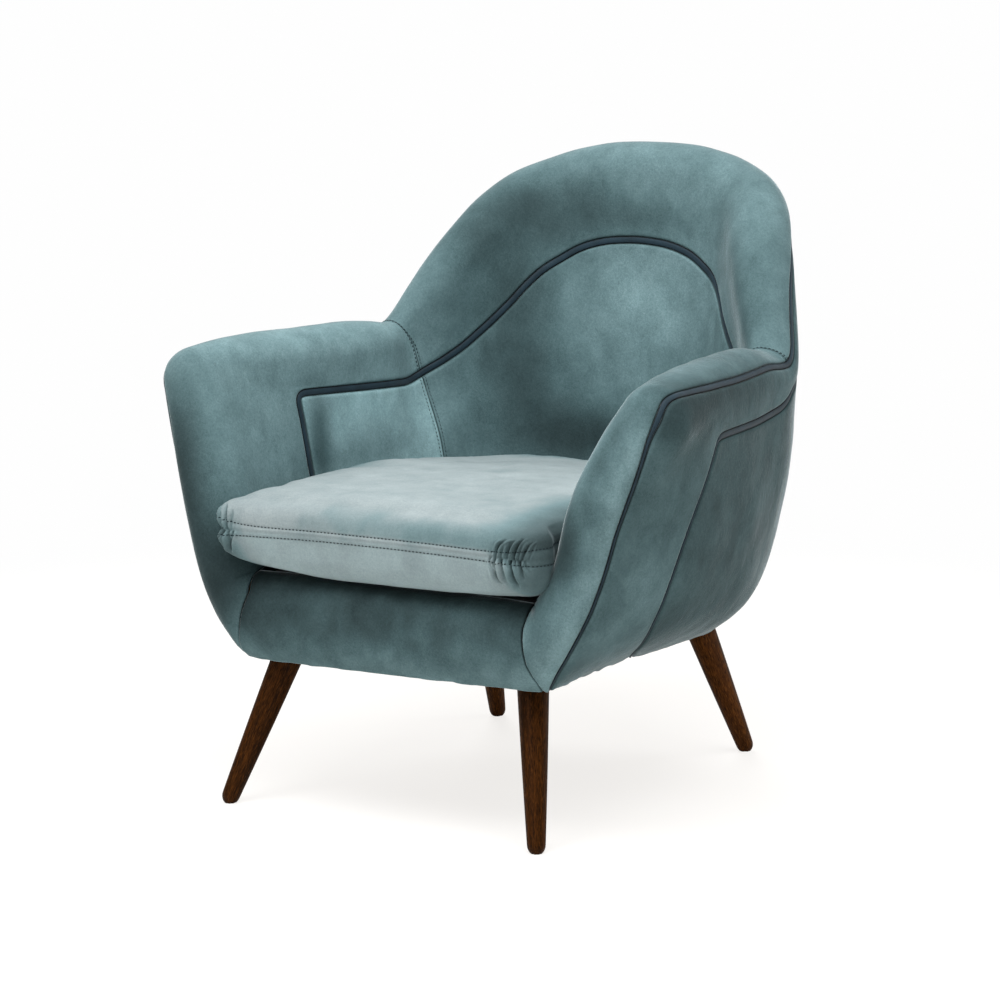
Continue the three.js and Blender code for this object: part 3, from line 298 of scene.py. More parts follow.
# ------------------------------------------------------------------ meshes
def make_mesh(name, verts_mm, faces, attributes=None):
    mesh = bpy.data.meshes.new(name)
    mesh.from_pydata((np.asarray(verts_mm, float) / 1000.0).tolist(), [], faces)
    mesh.validate(verbose=False)
    for key, values in (attributes or {}).items():
        at = mesh.attributes.new(key, "FLOAT", "POINT")
        at.data.foreach_set("value", np.asarray(values, np.float32).ravel())
    bm = bmesh.new()
    bm.from_mesh(mesh)
    bmesh.ops.recalc_face_normals(bm, faces=bm.faces)
    bm.to_mesh(mesh)
    bm.free()
    mesh.polygons.foreach_set("use_smooth", [True] * len(mesh.polygons))
    ob = bpy.data.objects.new(name, mesh)
    scene.collection.objects.link(ob)
    return ob


def cumlen(p, axis):
    d = np.linalg.norm(np.diff(p, axis=axis), axis=-1)
    z = np.zeros_like(np.take(d, [0], axis=axis))
    return np.concatenate([z, np.cumsum(d, axis=axis)], axis=axis)


EDGE = [0, 0.5, 1.2, 2.1, 3.3, 4.8, 6.6, 9.0, 12.5]
SEAM_EDGE = [0, 0.5, 1.1, 1.9, 2.8, 3.6, 4.3, 5.0, 5.9, 7.2, 9.2, 12.5]
PLAIN_EDGE = [0]


def graded(length, e0, e1, step, n=None):
    """Distances from 0 to length, close together near both ends."""
    e0, e1 = np.array(e0, float), np.array(e1, float)
    k = min(1.0, 0.8 * length / max(e0[-1] + e1[-1], 1e-6))
    a, b = e0 * k, length - e1[::-1] * k
    if n is None:
        n = max(1, int(round((b[0] - a[-1]) / step)))
    return np.concatenate([a, np.linspace(a[-1], b[0], n + 1)[1:-1], b]), n


def resample(p, where):
    """Points of a polyline (n, k) at distances `where` along its first three columns."""
    s = np.concatenate([[0], np.cumsum(np.linalg.norm(np.diff(p[:, :3], axis=0), axis=1))])
    return np.stack([np.interp(where, s, p[:, c]) for c in range(p.shape[1])], axis=1)


def shoulder(d, depth, radius):
    x = np.clip(1 - d / radius, 0, 1)
    return depth * (1 - np.sqrt(np.maximum(1 - x * x, 0)))


PIPED = (3.6, 6.0)
SEWN = (1.3, 2.2)
PLAIN = (1.3, 2.4)


def cushioned(p, n, sides, crown=1.5, reach=45.0, stitched=()):
    """The face's grid with its edges rolled down to their seams. Returns the points, and how far each is from an edge."""
    ci, cj = cumlen(p, 0), cumlen(p, 1)
    dist = {"i0": ci, "i1": ci[-1:] - ci, "j0": cj, "j1": cj[:, -1:] - cj}
    drop = np.zeros(p.shape[:2])
    near, edge = np.full(p.shape[:2], 1e3), np.full(p.shape[:2], 1e3)
    for key, kind in sides.items():
        if kind is None:
            continue
        drop = drop + shoulder(dist[key], *kind) ** 2
        if kind not in (SEWN, PLAIN):
            near = np.minimum(near, dist[key])
            edge = np.minimum(edge, dist[key] * 1.5)
        else:
            edge = np.minimum(edge, 0.6 + dist[key] * 3.0)
    h = -np.sqrt(drop)
    h = h + crown * (1 - np.exp(-((near / reach) ** 2)))
    for _ in range(10):  # no ridge where the nearest edge changes
        g = np.pad(h, 1, mode="edge")
        g = (g[:-2, 1:-1] + g[2:, 1:-1] + g[1:-1, :-2] + g[1:-1, 2:]) / 4
        k = np.clip((near - 9) / 12, 0, 1)
        h = h + (g - h) * k
    for key in stitched:
        h = h - 0.8 * np.exp(-(((dist[key] - 4.3) / 0.9) ** 2)) + 0.45 * np.exp(-(((dist[key] - 2.2) / 1.0) ** 2))
        edge = np.minimum(edge, 1.7 + 2.0 * np.abs(dist[key] - 4.3))
    dist["edge"] = edge
    return h, near, dist


def closed_slab(name, p, n, thick, hem=None, attributes=None, back=None):
    """Closed body from a face grid and its back. hem: {"side": "i0", "turn": [...]} rows that roll the edge under."""
    rows, cols = p.shape[:2]
    verts = [p.reshape(-1, 3)]
    b = (back if back is not None else p - n * thick)
    verts.append(b.reshape(-1, 3))
    count = rows * cols
    at = lambda i, j: i * cols + j
    faces = []
    ii, jj = np.meshgrid(np.arange(rows - 1), np.arange(cols - 1), indexing="ij")
    a, bq, c, d = at(ii, jj).ravel(), at(ii + 1, jj).ravel(), at(ii + 1, jj + 1).ravel(), at(ii, jj + 1).ravel()
    faces += np.stack([a, bq, c, d], 1).tolist()
    faces += (np.stack([a, d, c, bq], 1) + count).tolist()
    ring = [at(0, j) for j in range(cols)] + [at(i, cols - 1) for i in range(1, rows)] + [at(rows - 1, j) for j in range(cols - 2, -1, -1)] + [at(i, 0) for i in range(rows - 2, 0, -1)]
    for k in range(len(ring)):
        q, r = ring[k], ring[(k + 1) % len(ring)]
        faces.append([q, r, count + r, count + q])
    attrs = {}
    for key, val in (attributes or {}).items():
        val = np.asarray(val).reshape(-1)
        attrs[key] = np.concatenate([val, val])
    return make_mesh(name, np.concatenate(verts), faces, attrs)


def hem_rows(p, n, radius=9.0, inward=16.0, turns=(18, 36, 54, 72, 90)):
    """Extra rows before row 0 of a grid (p, n), rolling the edge under and running it inwards. Outermost row first."""
    t = unit(p[0] - p[1])
    t = unit(t - n[0] * np.sum(t * n[0], -1, keepdims=True))
    out_p, out_n = [], []
    for deg in turns:
        f = math.radians(deg)
        m = n[0] * math.cos(f) + t * math.sin(f)
        out_p.append(p[0] - n[0] * radius + m * radius)
        out_n.append(m)
    for s in (0.4, 1.0):
        out_p.append(p[0] - n[0] * (radius + s * inward) + t * radius * (1 - 0.25 * s))
        out_n.append(t)
    return np.array(out_p[::-1]), np.array(out_n[::-1])

# ------------------------------------------------------------------ stations along the free edge
def scalar_position(line, st):
    return line.position(*st)


def front_stations():
    s, _ = graded(352, PLAIN_EDGE, PLAIN_EDGE, 6.0)
    return [(0.0, 0.012 + (1 - 0.012) * x / 352 if x < 352 else 1.0, 0.0) for x in s[:-1]]


def fan_stations(n=13):
    return [(0.0, 1.0, float(a)) for a in np.linspace(0, 1, n)]


def top_stations(u0, u1, e0, e1, mm_per_u=800.0, step=6.0):
    length = (u1 - u0) * mm_per_u
    s, _ = graded(length, e0, e1, step)
    return [(float(u0 + (u1 - u0) * x / length), 1.0, 1.0) for x in s]


SEAM_HALF = 0.0007


def upper_width(u, v, a):
    """Share of the strip's full width that shows: it is drawn into the seam down the front leg."""
    if a > 0 or u > 0:
        return 0.92
    return float(np.interp(v, [0, 0.55, 0.8, 0.94, 1.0], [0.30, 0.32, 0.42, 0.6, 0.92]))


def lower_width(t):
    c = OUTER2.corner
    return float(np.interp(t, [0, c - 6, c - 1.5, c + 1.5], [0.34, 0.38, 0.6, 1.0]))


RIM_GAP = 0.45  # what shows between a strip and the pads


def rim_row(st, n_wall=16, n_roll=44):
    u, v, a = st
    end = outer1_angle(u, v, a) - (HALF * upper_width(u, v, a) + RIM_GAP) / WALL * 180 / math.pi
    uu, vv = [], []
    if a == 0 and v < 0.17:
        start = float(smooth_table(APRON_T, v))
        return roll(np.full(n_wall + n_roll, u), np.full(n_wall + n_roll, v), np.full(n_wall + n_roll, a), np.linspace(start, end, n_wall + n_roll))
    t = INNER.position(u, v, a)
    ut, vt = (float(q) for q in INNER.beside(-1, t, -(HALF + RIM_GAP)))
    first = -90.0
    if a == 0 and v < 0.28:
        w = (v - 0.17) / 0.11
        ut, vt = lerp(u, ut, w), lerp(v, vt, w)
        first = lerp(-78.0, -90.0, min(1.0, w * 3))
    k = np.linspace(0, 1, n_wall, endpoint=False)
    p0, n0 = wall(lerp(ut, u, k), lerp(vt, v, k), -1)
    m = n_roll
    p1, n1 = roll(np.full(m, u), np.full(m, v), np.full(m, a), np.linspace(first, end, m))
    return np.concatenate([p0, p1]), np.concatenate([n0, n1])


def band_row(st, n_roll=10, n_wall=22):
    u, v, a = st
    start = outer1_angle(u, v, a) + (HALF * upper_width(u, v, a) + RIM_GAP) / WALL * 180 / math.pi
    p0, n0 = roll(np.full(n_roll, u), np.full(n_roll, v), np.full(n_roll, a), np.linspace(start, 90, n_roll, endpoint=False))
    t = OUTER2.position(min(u, 1.0), v, a)
    ut, vt = (float(q) for q in OUTER2.beside(1, t, -(HALF * lower_width(t) + RIM_GAP)))
    if u > 0.99:
        ut = u
    k = np.linspace(0, 1, n_wall)
    p1, n1 = wall(lerp(u, ut, k), lerp(v, vt, k), 1)
    return np.concatenate([p0, p1]), np.concatenate([n0, n1])


def rows_to_grid(rows, e0, e1, step):
    lengths = [np.linalg.norm(np.diff(p, axis=0), axis=1).sum() for p, _ in rows]
    _, n = graded(max(lengths), e0, e1, step)
    ps, ns = [], []
    for (p, m), length in zip(rows, lengths):
        where, _ = graded(length, e0, e1, step, n)
        q = resample(np.concatenate([p, m], axis=1), where)
        ps.append(q[:, :3])
        ns.append(unit(q[:, 3:]))
    return np.array(ps), np.array(ns)


def relax(p, n, times=2):
    """Light smoothing along the rows, edges kept."""
    for _ in range(times):
        q = p.copy()
        q[1:-1] = 0.25 * p[:-2] + 0.5 * p[1:-1] + 0.25 * p[2:]
        p = q
    return p, n


def mirror_rows(p, n):
    k = np.array([-1, 1, 1])
    return np.concatenate([p, (p[:-1] * k)[::-1]]), np.concatenate([n, (n[:-1] * k)[::-1]])


MIR = np.array([-1.0, 1.0, 1.0])
pads = {}


def wrinkles(p, n, near, hem_dist=None, seed=0, amount=1.0):
    """Slow unevenness of stuffed velvet, with short puckers that fade out of the hem."""
    h = amount * (0.75 * vnoise(p, 75, seed) + 0.35 * vnoise(p, 34, seed + 1))
    h = h * np.clip(near / 18.0, 0.0, 1.0)
    if hem_dist is not None:
        along = vnoise(p, (13, 13, 60), seed + 5)
        slow = 0.5 + 0.5 * vnoise(p, 90, seed + 6)
        h = h + 1.25 * along * slow * np.exp(-((hem_dist / 17.0) ** 2)) + 0.7 * along * np.exp(-hem_dist / 40.0) * slow
    return h


NAP_BLOBS = [  # where the pile lies the other way: centre, reach (mm), stops
    # front of the sitter's right arm, low down and along its outer edge
    ((-270, -374, 330), (56, 70, 76), -2.1),
    ((-318, -365, 415), (42, 70, 80), -1.15),
    ((-250, -378, 280), (48, 60, 56), -1.4),
    ((-338, -350, 490), (46, 70, 110), -1.35),
    # inner pad beside the piping's leg
    ((-278, -112, 455), (60, 22, 70), -1.6),
    ((-262, -20, 428), (60, 110, 34), -0.7),
    # inner back, on its left and down towards the seat
    ((-172, 228, 590), (58, 60, 90), -1.15),
    ((-160, 218, 462), (120, 95, 75), -0.75),
    ((-143, 252, 650), (52, 60, 46), -0.5),
    ((40, 255, 440), (140, 70, 32), -0.9),
    ((-60, 245, 425), (120, 60, 46), -1.42),
    ((-150, 232, 515), (70, 60, 60), -0.6),
    ((40, 276, 625), (80, 60, 65), 0.35),
    # rim of the back: the hollow below its crest
    ((-215, 200, 712), (52, 60, 52), -0.95),
    ((-176, 250, 762), (55, 60, 40), -1.0),
    ((-100, 288, 778), (70, 60, 34), -0.75),
    ((-10, 298, 762), (80, 80, 26), -0.6),
    ((-112, 276, 724), (60, 80, 36), -0.8),
    ((10, 296, 742), (90, 60, 22), -0.45),
    ((-250, 140, 640), (36, 50, 50), -0.5),
    ((253, 183, 713), (60, 70, 90), -0.38),
    ((180, 273, 784), (40, 50, 40), -0.3),
    ((262, 135, 655), (28, 36, 90), -0.3),
    ((-272, 130, 668), (40, 50, 40), 0.4),
    # top and outer shoulder of the sitter's left arm
    ((372, -285, 604), (56, 90, 36), -0.5),
    ((394, -235, 540), (30, 55, 50), -0.45),
    ((333, -40, 609), (60, 150, 40), -0.65),
    ((388, -160, 572), (40, 220, 34), -0.95),
    ((330, -300, 300), (70, 90, 60), 0.35),
    # front apron, beside that arm
    ((150, -390, 268), (75, 60, 50), 0.45),
    # seat cushion's corner against that arm
    ((254, -368, 396), (40, 60, 60), -1.2),
    ((236, -310, 412), (36, 80, 50), -1.0),
    ((226, -245, 426), (40, 80, 40), -0.75),
    ((-240, -384, 402), (50, 60, 40), 0.4),
    ((230, -392, 345), (24, 34, 42), -0.7),
    # low on the band below that arm
    ((330, -250, 350), (60, 80, 60), 0.55),
]


def nap_value(p, base, mottle, seed):
    """How much darker or lighter the pile lies, in stops."""
    v = np.full(p.shape[:-1], float(base))
    for c, r, amount in NAP_BLOBS:
        d = (p - np.array(c, float)) / np.array(r, float)
        v += amount * np.exp(-np.sum(d * d, -1))
    q = p + 6.0 * np.stack([vnoise(p, 24, seed + 3), vnoise(p, 24, seed + 4), vnoise(p, 24, seed + 5)], -1)
    v += mottle * (0.75 * vnoise(q, (34, 34, 46), seed) + 0.6 * vnoise(q, (15, 15, 21), seed + 1) + 0.35 * vnoise(q, 110, seed + 2))
    return v


NAP = {"rim_cover_right": (-0.3, 0.15), "rim_cover_left": (-0.02, 0.12), "inner_pad_left": (0.6, 0.12), "inner_pad_right": (0.2, 0.12), "inner_pad_back": (-0.3, 0.16), "rim_cover_back": (-0.35, 0.14), "outer_cover_right": (-1.65, 0.2), "outer_cover_left": (-0.9, 0.17), "band_cover_right": (-1.1, 0.2), "band_cover_left": (-0.7, 0.2), "apron_cover": (-1.85, 0.26)}
CREASES = []  # (points in mm, depth, width): shallow lines in the cloth


def crease_drop(p):
    h = np.zeros(p.shape[:-1])
    for pts, depth, width in CREASES:
        pts = np.array(pts, float)
        best = np.full(p.shape[:-1], 1e9)
        fade = np.ones(p.shape[:-1])
        total = len(pts) - 1
        for k in range(total):
            a, b = pts[k], pts[k + 1]
            ab = b - a
            t = np.clip(((p - a) @ ab) / (ab @ ab), 0, 1)
            d = np.linalg.norm(p - (a + t[..., None] * ab), axis=-1)
            closer = d < best
            s = (k + t) / total
            best = np.where(closer, d, best)
            fade = np.where(closer, np.clip(np.minimum(s, 1 - s) * 5, 0, 1), fade)
        h -= depth * fade * (np.exp(-((best / width) ** 2)) - 0.45 * np.exp(-((best / (width * 2.2)) ** 2)))
    return h


def sag(p):
    """The hem hangs a few millimetres lower towards the front foot on the -X side."""
    return 6.0 * np.clip((110 - p[..., 0]) / 300, 0, 1) * np.clip((268 - p[..., 2]) / 50, 0, 1) * np.clip((-220 - p[..., 1]) / 90, 0, 1)


def finish_pad(name, p, n, sides, thick, nodes, body="chair", hem=False, stitched=(), crown=1.5, seed=1, amount=1.0, flip=False, slot="body_velvet", extra=None, nap_extra=None, hem_radius=9.0, reach=45.0):
    if flip:
        p, n = p * MIR, n * MIR
    h, near, dist = cushioned(p, n, sides, crown, reach, stitched)
    hem_dist = None
    if hem:
        hem_dist = dist["i0"]
    h = h + wrinkles(p, n, near, hem_dist, seed, amount) + crease_drop(p)
    if extra is not None:
        h = h + extra(p, near, dist)
    q = p + n * h[..., None]
    back = p - n * thick
    q[..., 2] -= sag(q)
    back[..., 2] -= sag(back)
    nap, edge = nap_value(q, *NAP[name], seed * 7), dist["edge"]
    if nap_extra is not None:
        nap = nap + nap_extra(p, dist)
    if hem:
        hp, hn = hem_rows(q, n, hem_radius)
        q = np.concatenate([hp, q])
        edge = np.concatenate([np.repeat(edge[:1], len(hp), 0), edge])
        nap = np.concatenate([np.repeat(nap[:1], len(hp), 0), nap])
        first = back[0]
        back = np.concatenate([np.repeat(first[None], len(hp), 0) + np.array([0, 0, 1.0]) * np.linspace(0.0, 2.0, len(hp))[::-1, None, None], back])
    ob = closed_slab(name, q, None, thick, attributes={"edge": edge, "nap": nap}, back=back)
    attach(ob, body)
    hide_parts(*nodes)
    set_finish(ob, slot)
    pads[name] = ob
    return q, n, h


def arm_front_nap(p, dist):
    """Down the front of the arm the pile is lighter beside the outer strip and darker along the middle."""
    low = np.clip((600 - p[..., 2]) / 60, 0, 1) * np.clip((-230 - p[..., 1]) / 50, 0, 1)
    d = dist["j1"] + 6 * vnoise(p, 40, 77)
    m = 0.5 + 0.5 * vnoise(p, (26, 26, 34), 78)
    return low * (0.32 * np.exp(-(((d - 13) / 12) ** 2)) - (0.35 + 0.5 * m) * np.exp(-(((d - 50) / 17) ** 2)))


def alike_behind(change):
    """Towards the middle of the back the left and right pieces come to the same pile."""
    def nap(p, dist):
        w = np.clip((330 - np.abs(p[..., 0])) / 260, 0, 1) * np.clip((p[..., 1] - 20) / 160, 0, 1)
        return change * w * w * (3 - 2 * w)
    return nap


rim_paths = {}
front, fan = front_stations(), fan_stations()
arm_top = top_stations(0.012, SEAM - SEAM_HALF, PLAIN_EDGE, SEAM_EDGE)
arm_sts = front + fan + arm_top
for side, flip in (("right", False), ("left", True)):
    TURN[0] = 21.0 if flip else 0.0
    rp, rn = rows_to_grid([rim_row(s) for s in arm_sts], EDGE, EDGE, 6.0)
    q, _, _ = finish_pad(f"rim_cover_{side}", rp, rn, {"i0": None, "i1": SEWN, "j0": PIPED, "j1": PIPED}, 17.0, [f"arm_rim_{side}"], hem=True, stitched=("i1",), crown=2.2, seed=11 + flip, flip=flip, nap_extra=arm_front_nap if side == "right" else None)
    rim_paths[side] = (q, rn * (MIR if flip else 1))
TURN[0] = 0.0
back_sts = top_stations(SEAM + SEAM_HALF, 1.0, SEAM_EDGE, PLAIN_EDGE)
bp, bn = rows_to_grid([rim_row(s) for s in back_sts], EDGE, EDGE, 6.0)
bp, bn = mirror_rows(bp, bn)


def wing(p, times=22):
    """Takes the ridge out of the inner face of the +X wing, where its thinner padding begins."""
    ci, cj = cumlen(p, 0), cumlen(p, 1)
    near = np.minimum(np.minimum(ci, ci[-1:] - ci), np.minimum(cj, cj[:, -1:] - cj))
    k = np.zeros(p.shape[:2])
    for c in ((149, 274, 771), (160, 259, 745), (171, 244, 721), (193, 216, 694), (214, 188, 667), (227, 173, 643), (239, 159, 619)):
        k = np.maximum(k, np.exp(-np.sum(((p - np.array(c, float)) / 34.0) ** 2, -1)))
    k = k * np.clip((near - 4) / 12, 0, 1)
    for _ in range(times):
        g = np.pad(p, ((1, 1), (1, 1), (0, 0)), mode="edge")
        g = (g[:-2, 1:-1] + g[2:, 1:-1] + g[1:-1, :-2] + g[1:-1, 2:]) / 4
        p = p + (g - p) * k[..., None]
    return p


bp = wing(bp)
bq, _, _ = finish_pad("rim_cover_back", bp, bn, {"i0": SEWN, "i1": SEWN, "j0": PIPED, "j1": PIPED}, 17.0, ["back_rim"], stitched=("i0", "i1"), crown=2.2, seed=21)
rim_paths["back"] = (bq, bn)


# ------------------------------------------------------------------ inner pads
def edge_line(line, side, t0, t1, d, n=240):
    t = np.linspace(t0, t1, n)
    u, v = line.beside(side, t, np.full(n, d))
    return u, v


def by_length(u, v, side, fractions):
    """(u, v) at fractions of the length of a line on the wall's face."""
    p, _ = wall(u, v, side)
    s = np.concatenate([[0], np.cumsum(np.linalg.norm(np.diff(p, axis=0), axis=1))])
    x = np.asarray(fractions) * s[-1]
    return np.interp(x, s, u), np.interp(x, s, v), s[-1]


def coons(bottom, top, left, right, r, s):
    """Each edge is (u, v) arrays: bottom and top over s, left and right over r."""
    out = []
    R, S = r[:, None], s[None, :]
    for k in (0, 1):
        b, t, l, g = (np.asarray(e[k], float) for e in (bottom, top, left, right))
        q = b[None] * (1 - R) + t[None] * R + l[:, None] * (1 - S) + g[:, None] * S
        q -= (b[0] * (1 - S) + b[-1] * S) * (1 - R) + (t[0] * (1 - S) + t[-1] * S) * R
        out.append(q)
    return out


t_low = float(np.interp(V_INNER, INNER.fine[: INNER.corner * K, 1], np.arange(INNER.corner * K))) / K
t_corner = INNER.corner * 1.0
off = HALF + RIM_GAP
eu, ev = edge_line(INNER, -1, t_corner, INNER.end(), off, 500)
seam_k = int(np.argmax(eu > SEAM - SEAM_HALF))
tu_, tv_ = np.append(eu[:seam_k], SEAM - SEAM_HALF), np.append(ev[:seam_k], np.interp(SEAM - SEAM_HALF, eu, ev))
lu, lv = edge_line(INNER, -1, t_low, t_corner, off)
_, _, top_len = by_length(tu_, tv_, -1, [0, 1])
_, _, left_len = by_length(lu, lv, -1, [0, 1])
s_mm, _ = graded(top_len, EDGE, SEAM_EDGE, 6.0)
r_mm, _ = graded(left_len, PLAIN_EDGE, EDGE, 6.0)
s_, r_ = s_mm / top_len, r_mm / left_len
top_uv = by_length(tu_, tv_, -1, s_)[:2]
left_uv = by_length(lu, lv, -1, r_)[:2]
v_end = top_uv[1][-1]
right_uv = (np.full(len(r_), SEAM - SEAM_HALF), lerp(V_INNER, v_end, r_))
bottom_uv = (lerp(left_uv[0][0], SEAM - SEAM_HALF, s_), np.full(len(s_), V_INNER))
gu, gv = coons(bottom_uv, top_uv, left_uv, right_uv, r_, s_)
ip, inn = wall(gu, gv, -1)
inner_paths = {}
for side, flip in (("right", False), ("left", True)):
    q, _, _ = finish_pad(f"inner_pad_{side}", ip, inn, {"i0": None, "i1": PIPED, "j0": PIPED, "j1": SEWN}, 24.0, [f"inner_arm_pad_{side}"], stitched=("j1",), crown=3.5, seed=31 + flip, flip=flip, reach=60.0)
    inner_paths[side] = (q, inn * (MIR if flip else 1))
us_mm, _ = graded((1 - SEAM) * 800, SEAM_EDGE, PLAIN_EDGE, 6.5)
us = SEAM + SEAM_HALF + us_mm / us_mm[-1] * (1 - SEAM - SEAM_HALF)
vt = np.interp(us, eu, ev)
col_len = []
for u, v in zip(us, vt):
    q, _ = wall(np.full(40, u), np.linspace(V_INNER, v, 40), -1)
    col_len.append(np.linalg.norm(np.diff(q, axis=0), axis=1).sum())
_, n_col = graded(max(col_len), PLAIN_EDGE, EDGE, 6.5)
gu, gv = [], []
for u, v, length in zip(us, vt, col_len):
    where, _ = graded(length, PLAIN_EDGE, EDGE, 6.5, n_col)
    gu.append(np.full(len(where), u))
    gv.append(lerp(V_INNER, v, where / length))
cp, cn = wall(np.array(gu), np.array(gv), -1)
cp, cn = mirror_rows(cp, cn)
cq, _, _ = finish_pad("inner_pad_back", cp, cn, {"i0": SEWN, "i1": SEWN, "j0": None, "j1": PIPED}, 24.0, ["inner_back_pad"], stitched=("i0", "i1"), crown=4.5, seed=41, reach=90.0)
inner_paths["back"] = (cq, cn)

# ------------------------------------------------------------------ outer panels and middle bands
t_corner2 = OUTER2.corner * 1.0
def panel_edge(t0, t1, n):
    t = np.linspace(t0, t1, n)
    return OUTER2.beside(1, t, np.array([HALF * lower_width(x) + RIM_GAP for x in t]))


lu, lv = panel_edge(0.0, t_corner2, 240)
tu_, tv_ = panel_edge(t_corner2, OUTER2.end(), 600)
keep = tu_ < 0.9985
tu_, tv_ = np.append(tu_[keep], 0.9996), np.append(tv_[keep], tv_[-1])
_, _, top_len = by_length(tu_, tv_, 1, [0, 1])
_, _, left_len = by_length(lu, lv, 1, [0, 1])
s_mm, _ = graded(top_len, EDGE, SEAM_EDGE, 7.0)
r_mm, _ = graded(left_len, PLAIN_EDGE, EDGE, 6.5)
s_, r_ = s_mm / top_len, r_mm / left_len
top_uv, left_uv = by_length(tu_, tv_, 1, s_)[:2], by_length(lu, lv, 1, r_)[:2]
q = (top_uv[0] - top_uv[0][0]) / (0.9996 - top_uv[0][0])
bottom_uv = (lerp(left_uv[0][0], 0.9996, q), left_uv[1][0] * (1 - q) ** 6)
right_uv = (np.full(len(r_), 0.9996), lerp(0.0, top_uv[1][-1], r_))
gu, gv = coons(bottom_uv, top_uv, left_uv, right_uv, r_, s_)
op, on = wall(gu, gv, 1)
panel_paths = {}
for side, flip in (("right", False), ("left", True)):
    q, _, _ = finish_pad(f"outer_cover_{side}", op, on, {"i0": None, "i1": PIPED, "j0": PIPED, "j1": PLAIN}, 9.0, [f"outer_panel_{side}"], hem=True, crown=1.6, seed=51, flip=flip, hem_radius=8.0, nap_extra=alike_behind(-0.2 if flip else 0.55))
band_top = top_stations(0.012, 0.9996, PLAIN_EDGE, SEAM_EDGE, 850.0)
band_sts = front + fan + band_top


def soften(p, times=14):
    """Rounds off the corner where the front and the top of the arm meet on the outer face."""
    ci, cj = cumlen(p, 0), cumlen(p, 1)
    near = np.minimum(cj, cj[:, -1:] - cj)
    k = np.clip((near - 5) / 10, 0, 1) * np.clip((p[..., 2] - 440) / 60, 0, 1) * np.clip((-90 - p[..., 1]) / 70, 0, 1)
    for _ in range(times):
        g = np.pad(p, ((1, 1), (1, 1), (0, 0)), mode="edge")
        g = (g[:-2, 1:-1] + g[2:, 1:-1] + g[1:-1, :-2] + g[1:-1, 2:]) / 4
        p = p + (g - p) * k[..., None]
    return p


for side, flip in (("right", False), ("left", True)):
    TURN[0] = 21.0 if flip else 0.0
    mp, mn = rows_to_grid([band_row(s) for s in band_sts], EDGE, EDGE, 6.0)
    mp = soften(mp)
    finish_pad(f"band_cover_{side}", mp, mn, {"i0": None, "i1": PLAIN, "j0": PIPED, "j1": PIPED}, 9.5, [f"middle_band_{side}"], hem=True, crown=1.8, amount=0.5, seed=61 + flip, flip=flip, reach=30.0, hem_radius=8.0, nap_extra=alike_behind(-0.2 if flip else 0.2))


# ------------------------------------------------------------------ flat pipings
PROFILE = [(-4.6, -7.5), (-4.68, -4.6), (-4.5, -2.7), (-3.95, -1.75), (-3.0, -1.2), (-1.5, -0.85), (0.0, -0.75), (1.5, -0.85), (3.0, -1.2), (3.95, -1.75), (4.5, -2.7), (4.68, -4.6), (4.6, -7.5)]


def strip_piece(name, rows, node, both=True, end_turn=True, other=None):
    """rows: list of (points over PROFILE's offsets, normals)."""
    ps, ns = np.array([r[0] for r in rows]), np.array([r[1] for r in rows])
    depth = np.array([d for _, d in PROFILE])
    p = ps + ns * depth[None, :, None]
    p = p + ns * (0.22 * vnoise(p, 30, 7) + 0.1 * vnoise(p, 9, 8))[..., None]
    if both:
        po, no = p, ns
        if other is not None:
            po, no = np.array([r[0] for r in other]), np.array([r[1] for r in other])
            po = po + no * depth[None, :, None]
            po = po + no * (0.22 * vnoise(po, 30, 7) + 0.1 * vnoise(po, 9, 8))[..., None]
        p = np.concatenate([p, (po[:-1] * MIR)[::-1]])
        ns = np.concatenate([ns, (no[:-1] * MIR)[::-1]])
    p[..., 2] -= sag(p)
    if end_turn:
        def turned(p0, p1, n0):
            t = unit(p0 - p1)
            t = unit(t - n0 * np.sum(t * n0, -1, keepdims=True))
            rad = 7.0
            out = []
            for deg in (22, 44, 66, 88):
                f = math.radians(deg)
                out.append(p0 - n0 * rad + (n0 * math.cos(f) + t * math.sin(f)) * rad)
            return out
        a = turned(p[0], p[1], ns[0])
        b = turned(p[-1], p[-2], ns[-1])
        p = np.concatenate([np.array(a[::-1]), p, np.array(b)])
    rows_n, m = p.shape[:2]
    faces = []
    for i in range(rows_n - 1):
        for j in range(m):
            k = (j + 1) % m
            faces.append([i * m + j, (i + 1) * m + j, (i + 1) * m + k, i * m + k])
    faces.append(list(range(m)))
    faces.append([(rows_n - 1) * m + j for j in range(m - 1, -1, -1)])
    x = np.array([abs(o) / HALF for o, _ in PROFILE])
    ob = make_mesh(name, p.reshape(-1, 3), faces, {"edge": np.tile((1 - x) * HALF, rows_n)})
    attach(ob, "chair")
    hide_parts(node)
    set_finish(ob, "piping_fabric")
    pads[name] = ob
    return ob


def wall_strip(line, side, t0, t1, step=5.0, width=None):
    t = np.linspace(t0, t1, 900)
    u, v = line.at(t)
    p, _ = wall(u, v, side)
    s = np.concatenate([[0], np.cumsum(np.linalg.norm(np.diff(p, axis=0), axis=1))])
    ts = np.interp(np.linspace(0, s[-1], int(s[-1] / step)), s, t)
    rows = []
    offs = np.array([o for o, _ in PROFILE])
    for tt in ts:
        u, v = line.beside(side, np.full(len(offs), tt), offs * (width(tt) if width else 1.0))
        if tt >= line.end() - 1e-6:
            u[:] = 1.0
        rows.append(wall(u, v, side))
    return rows


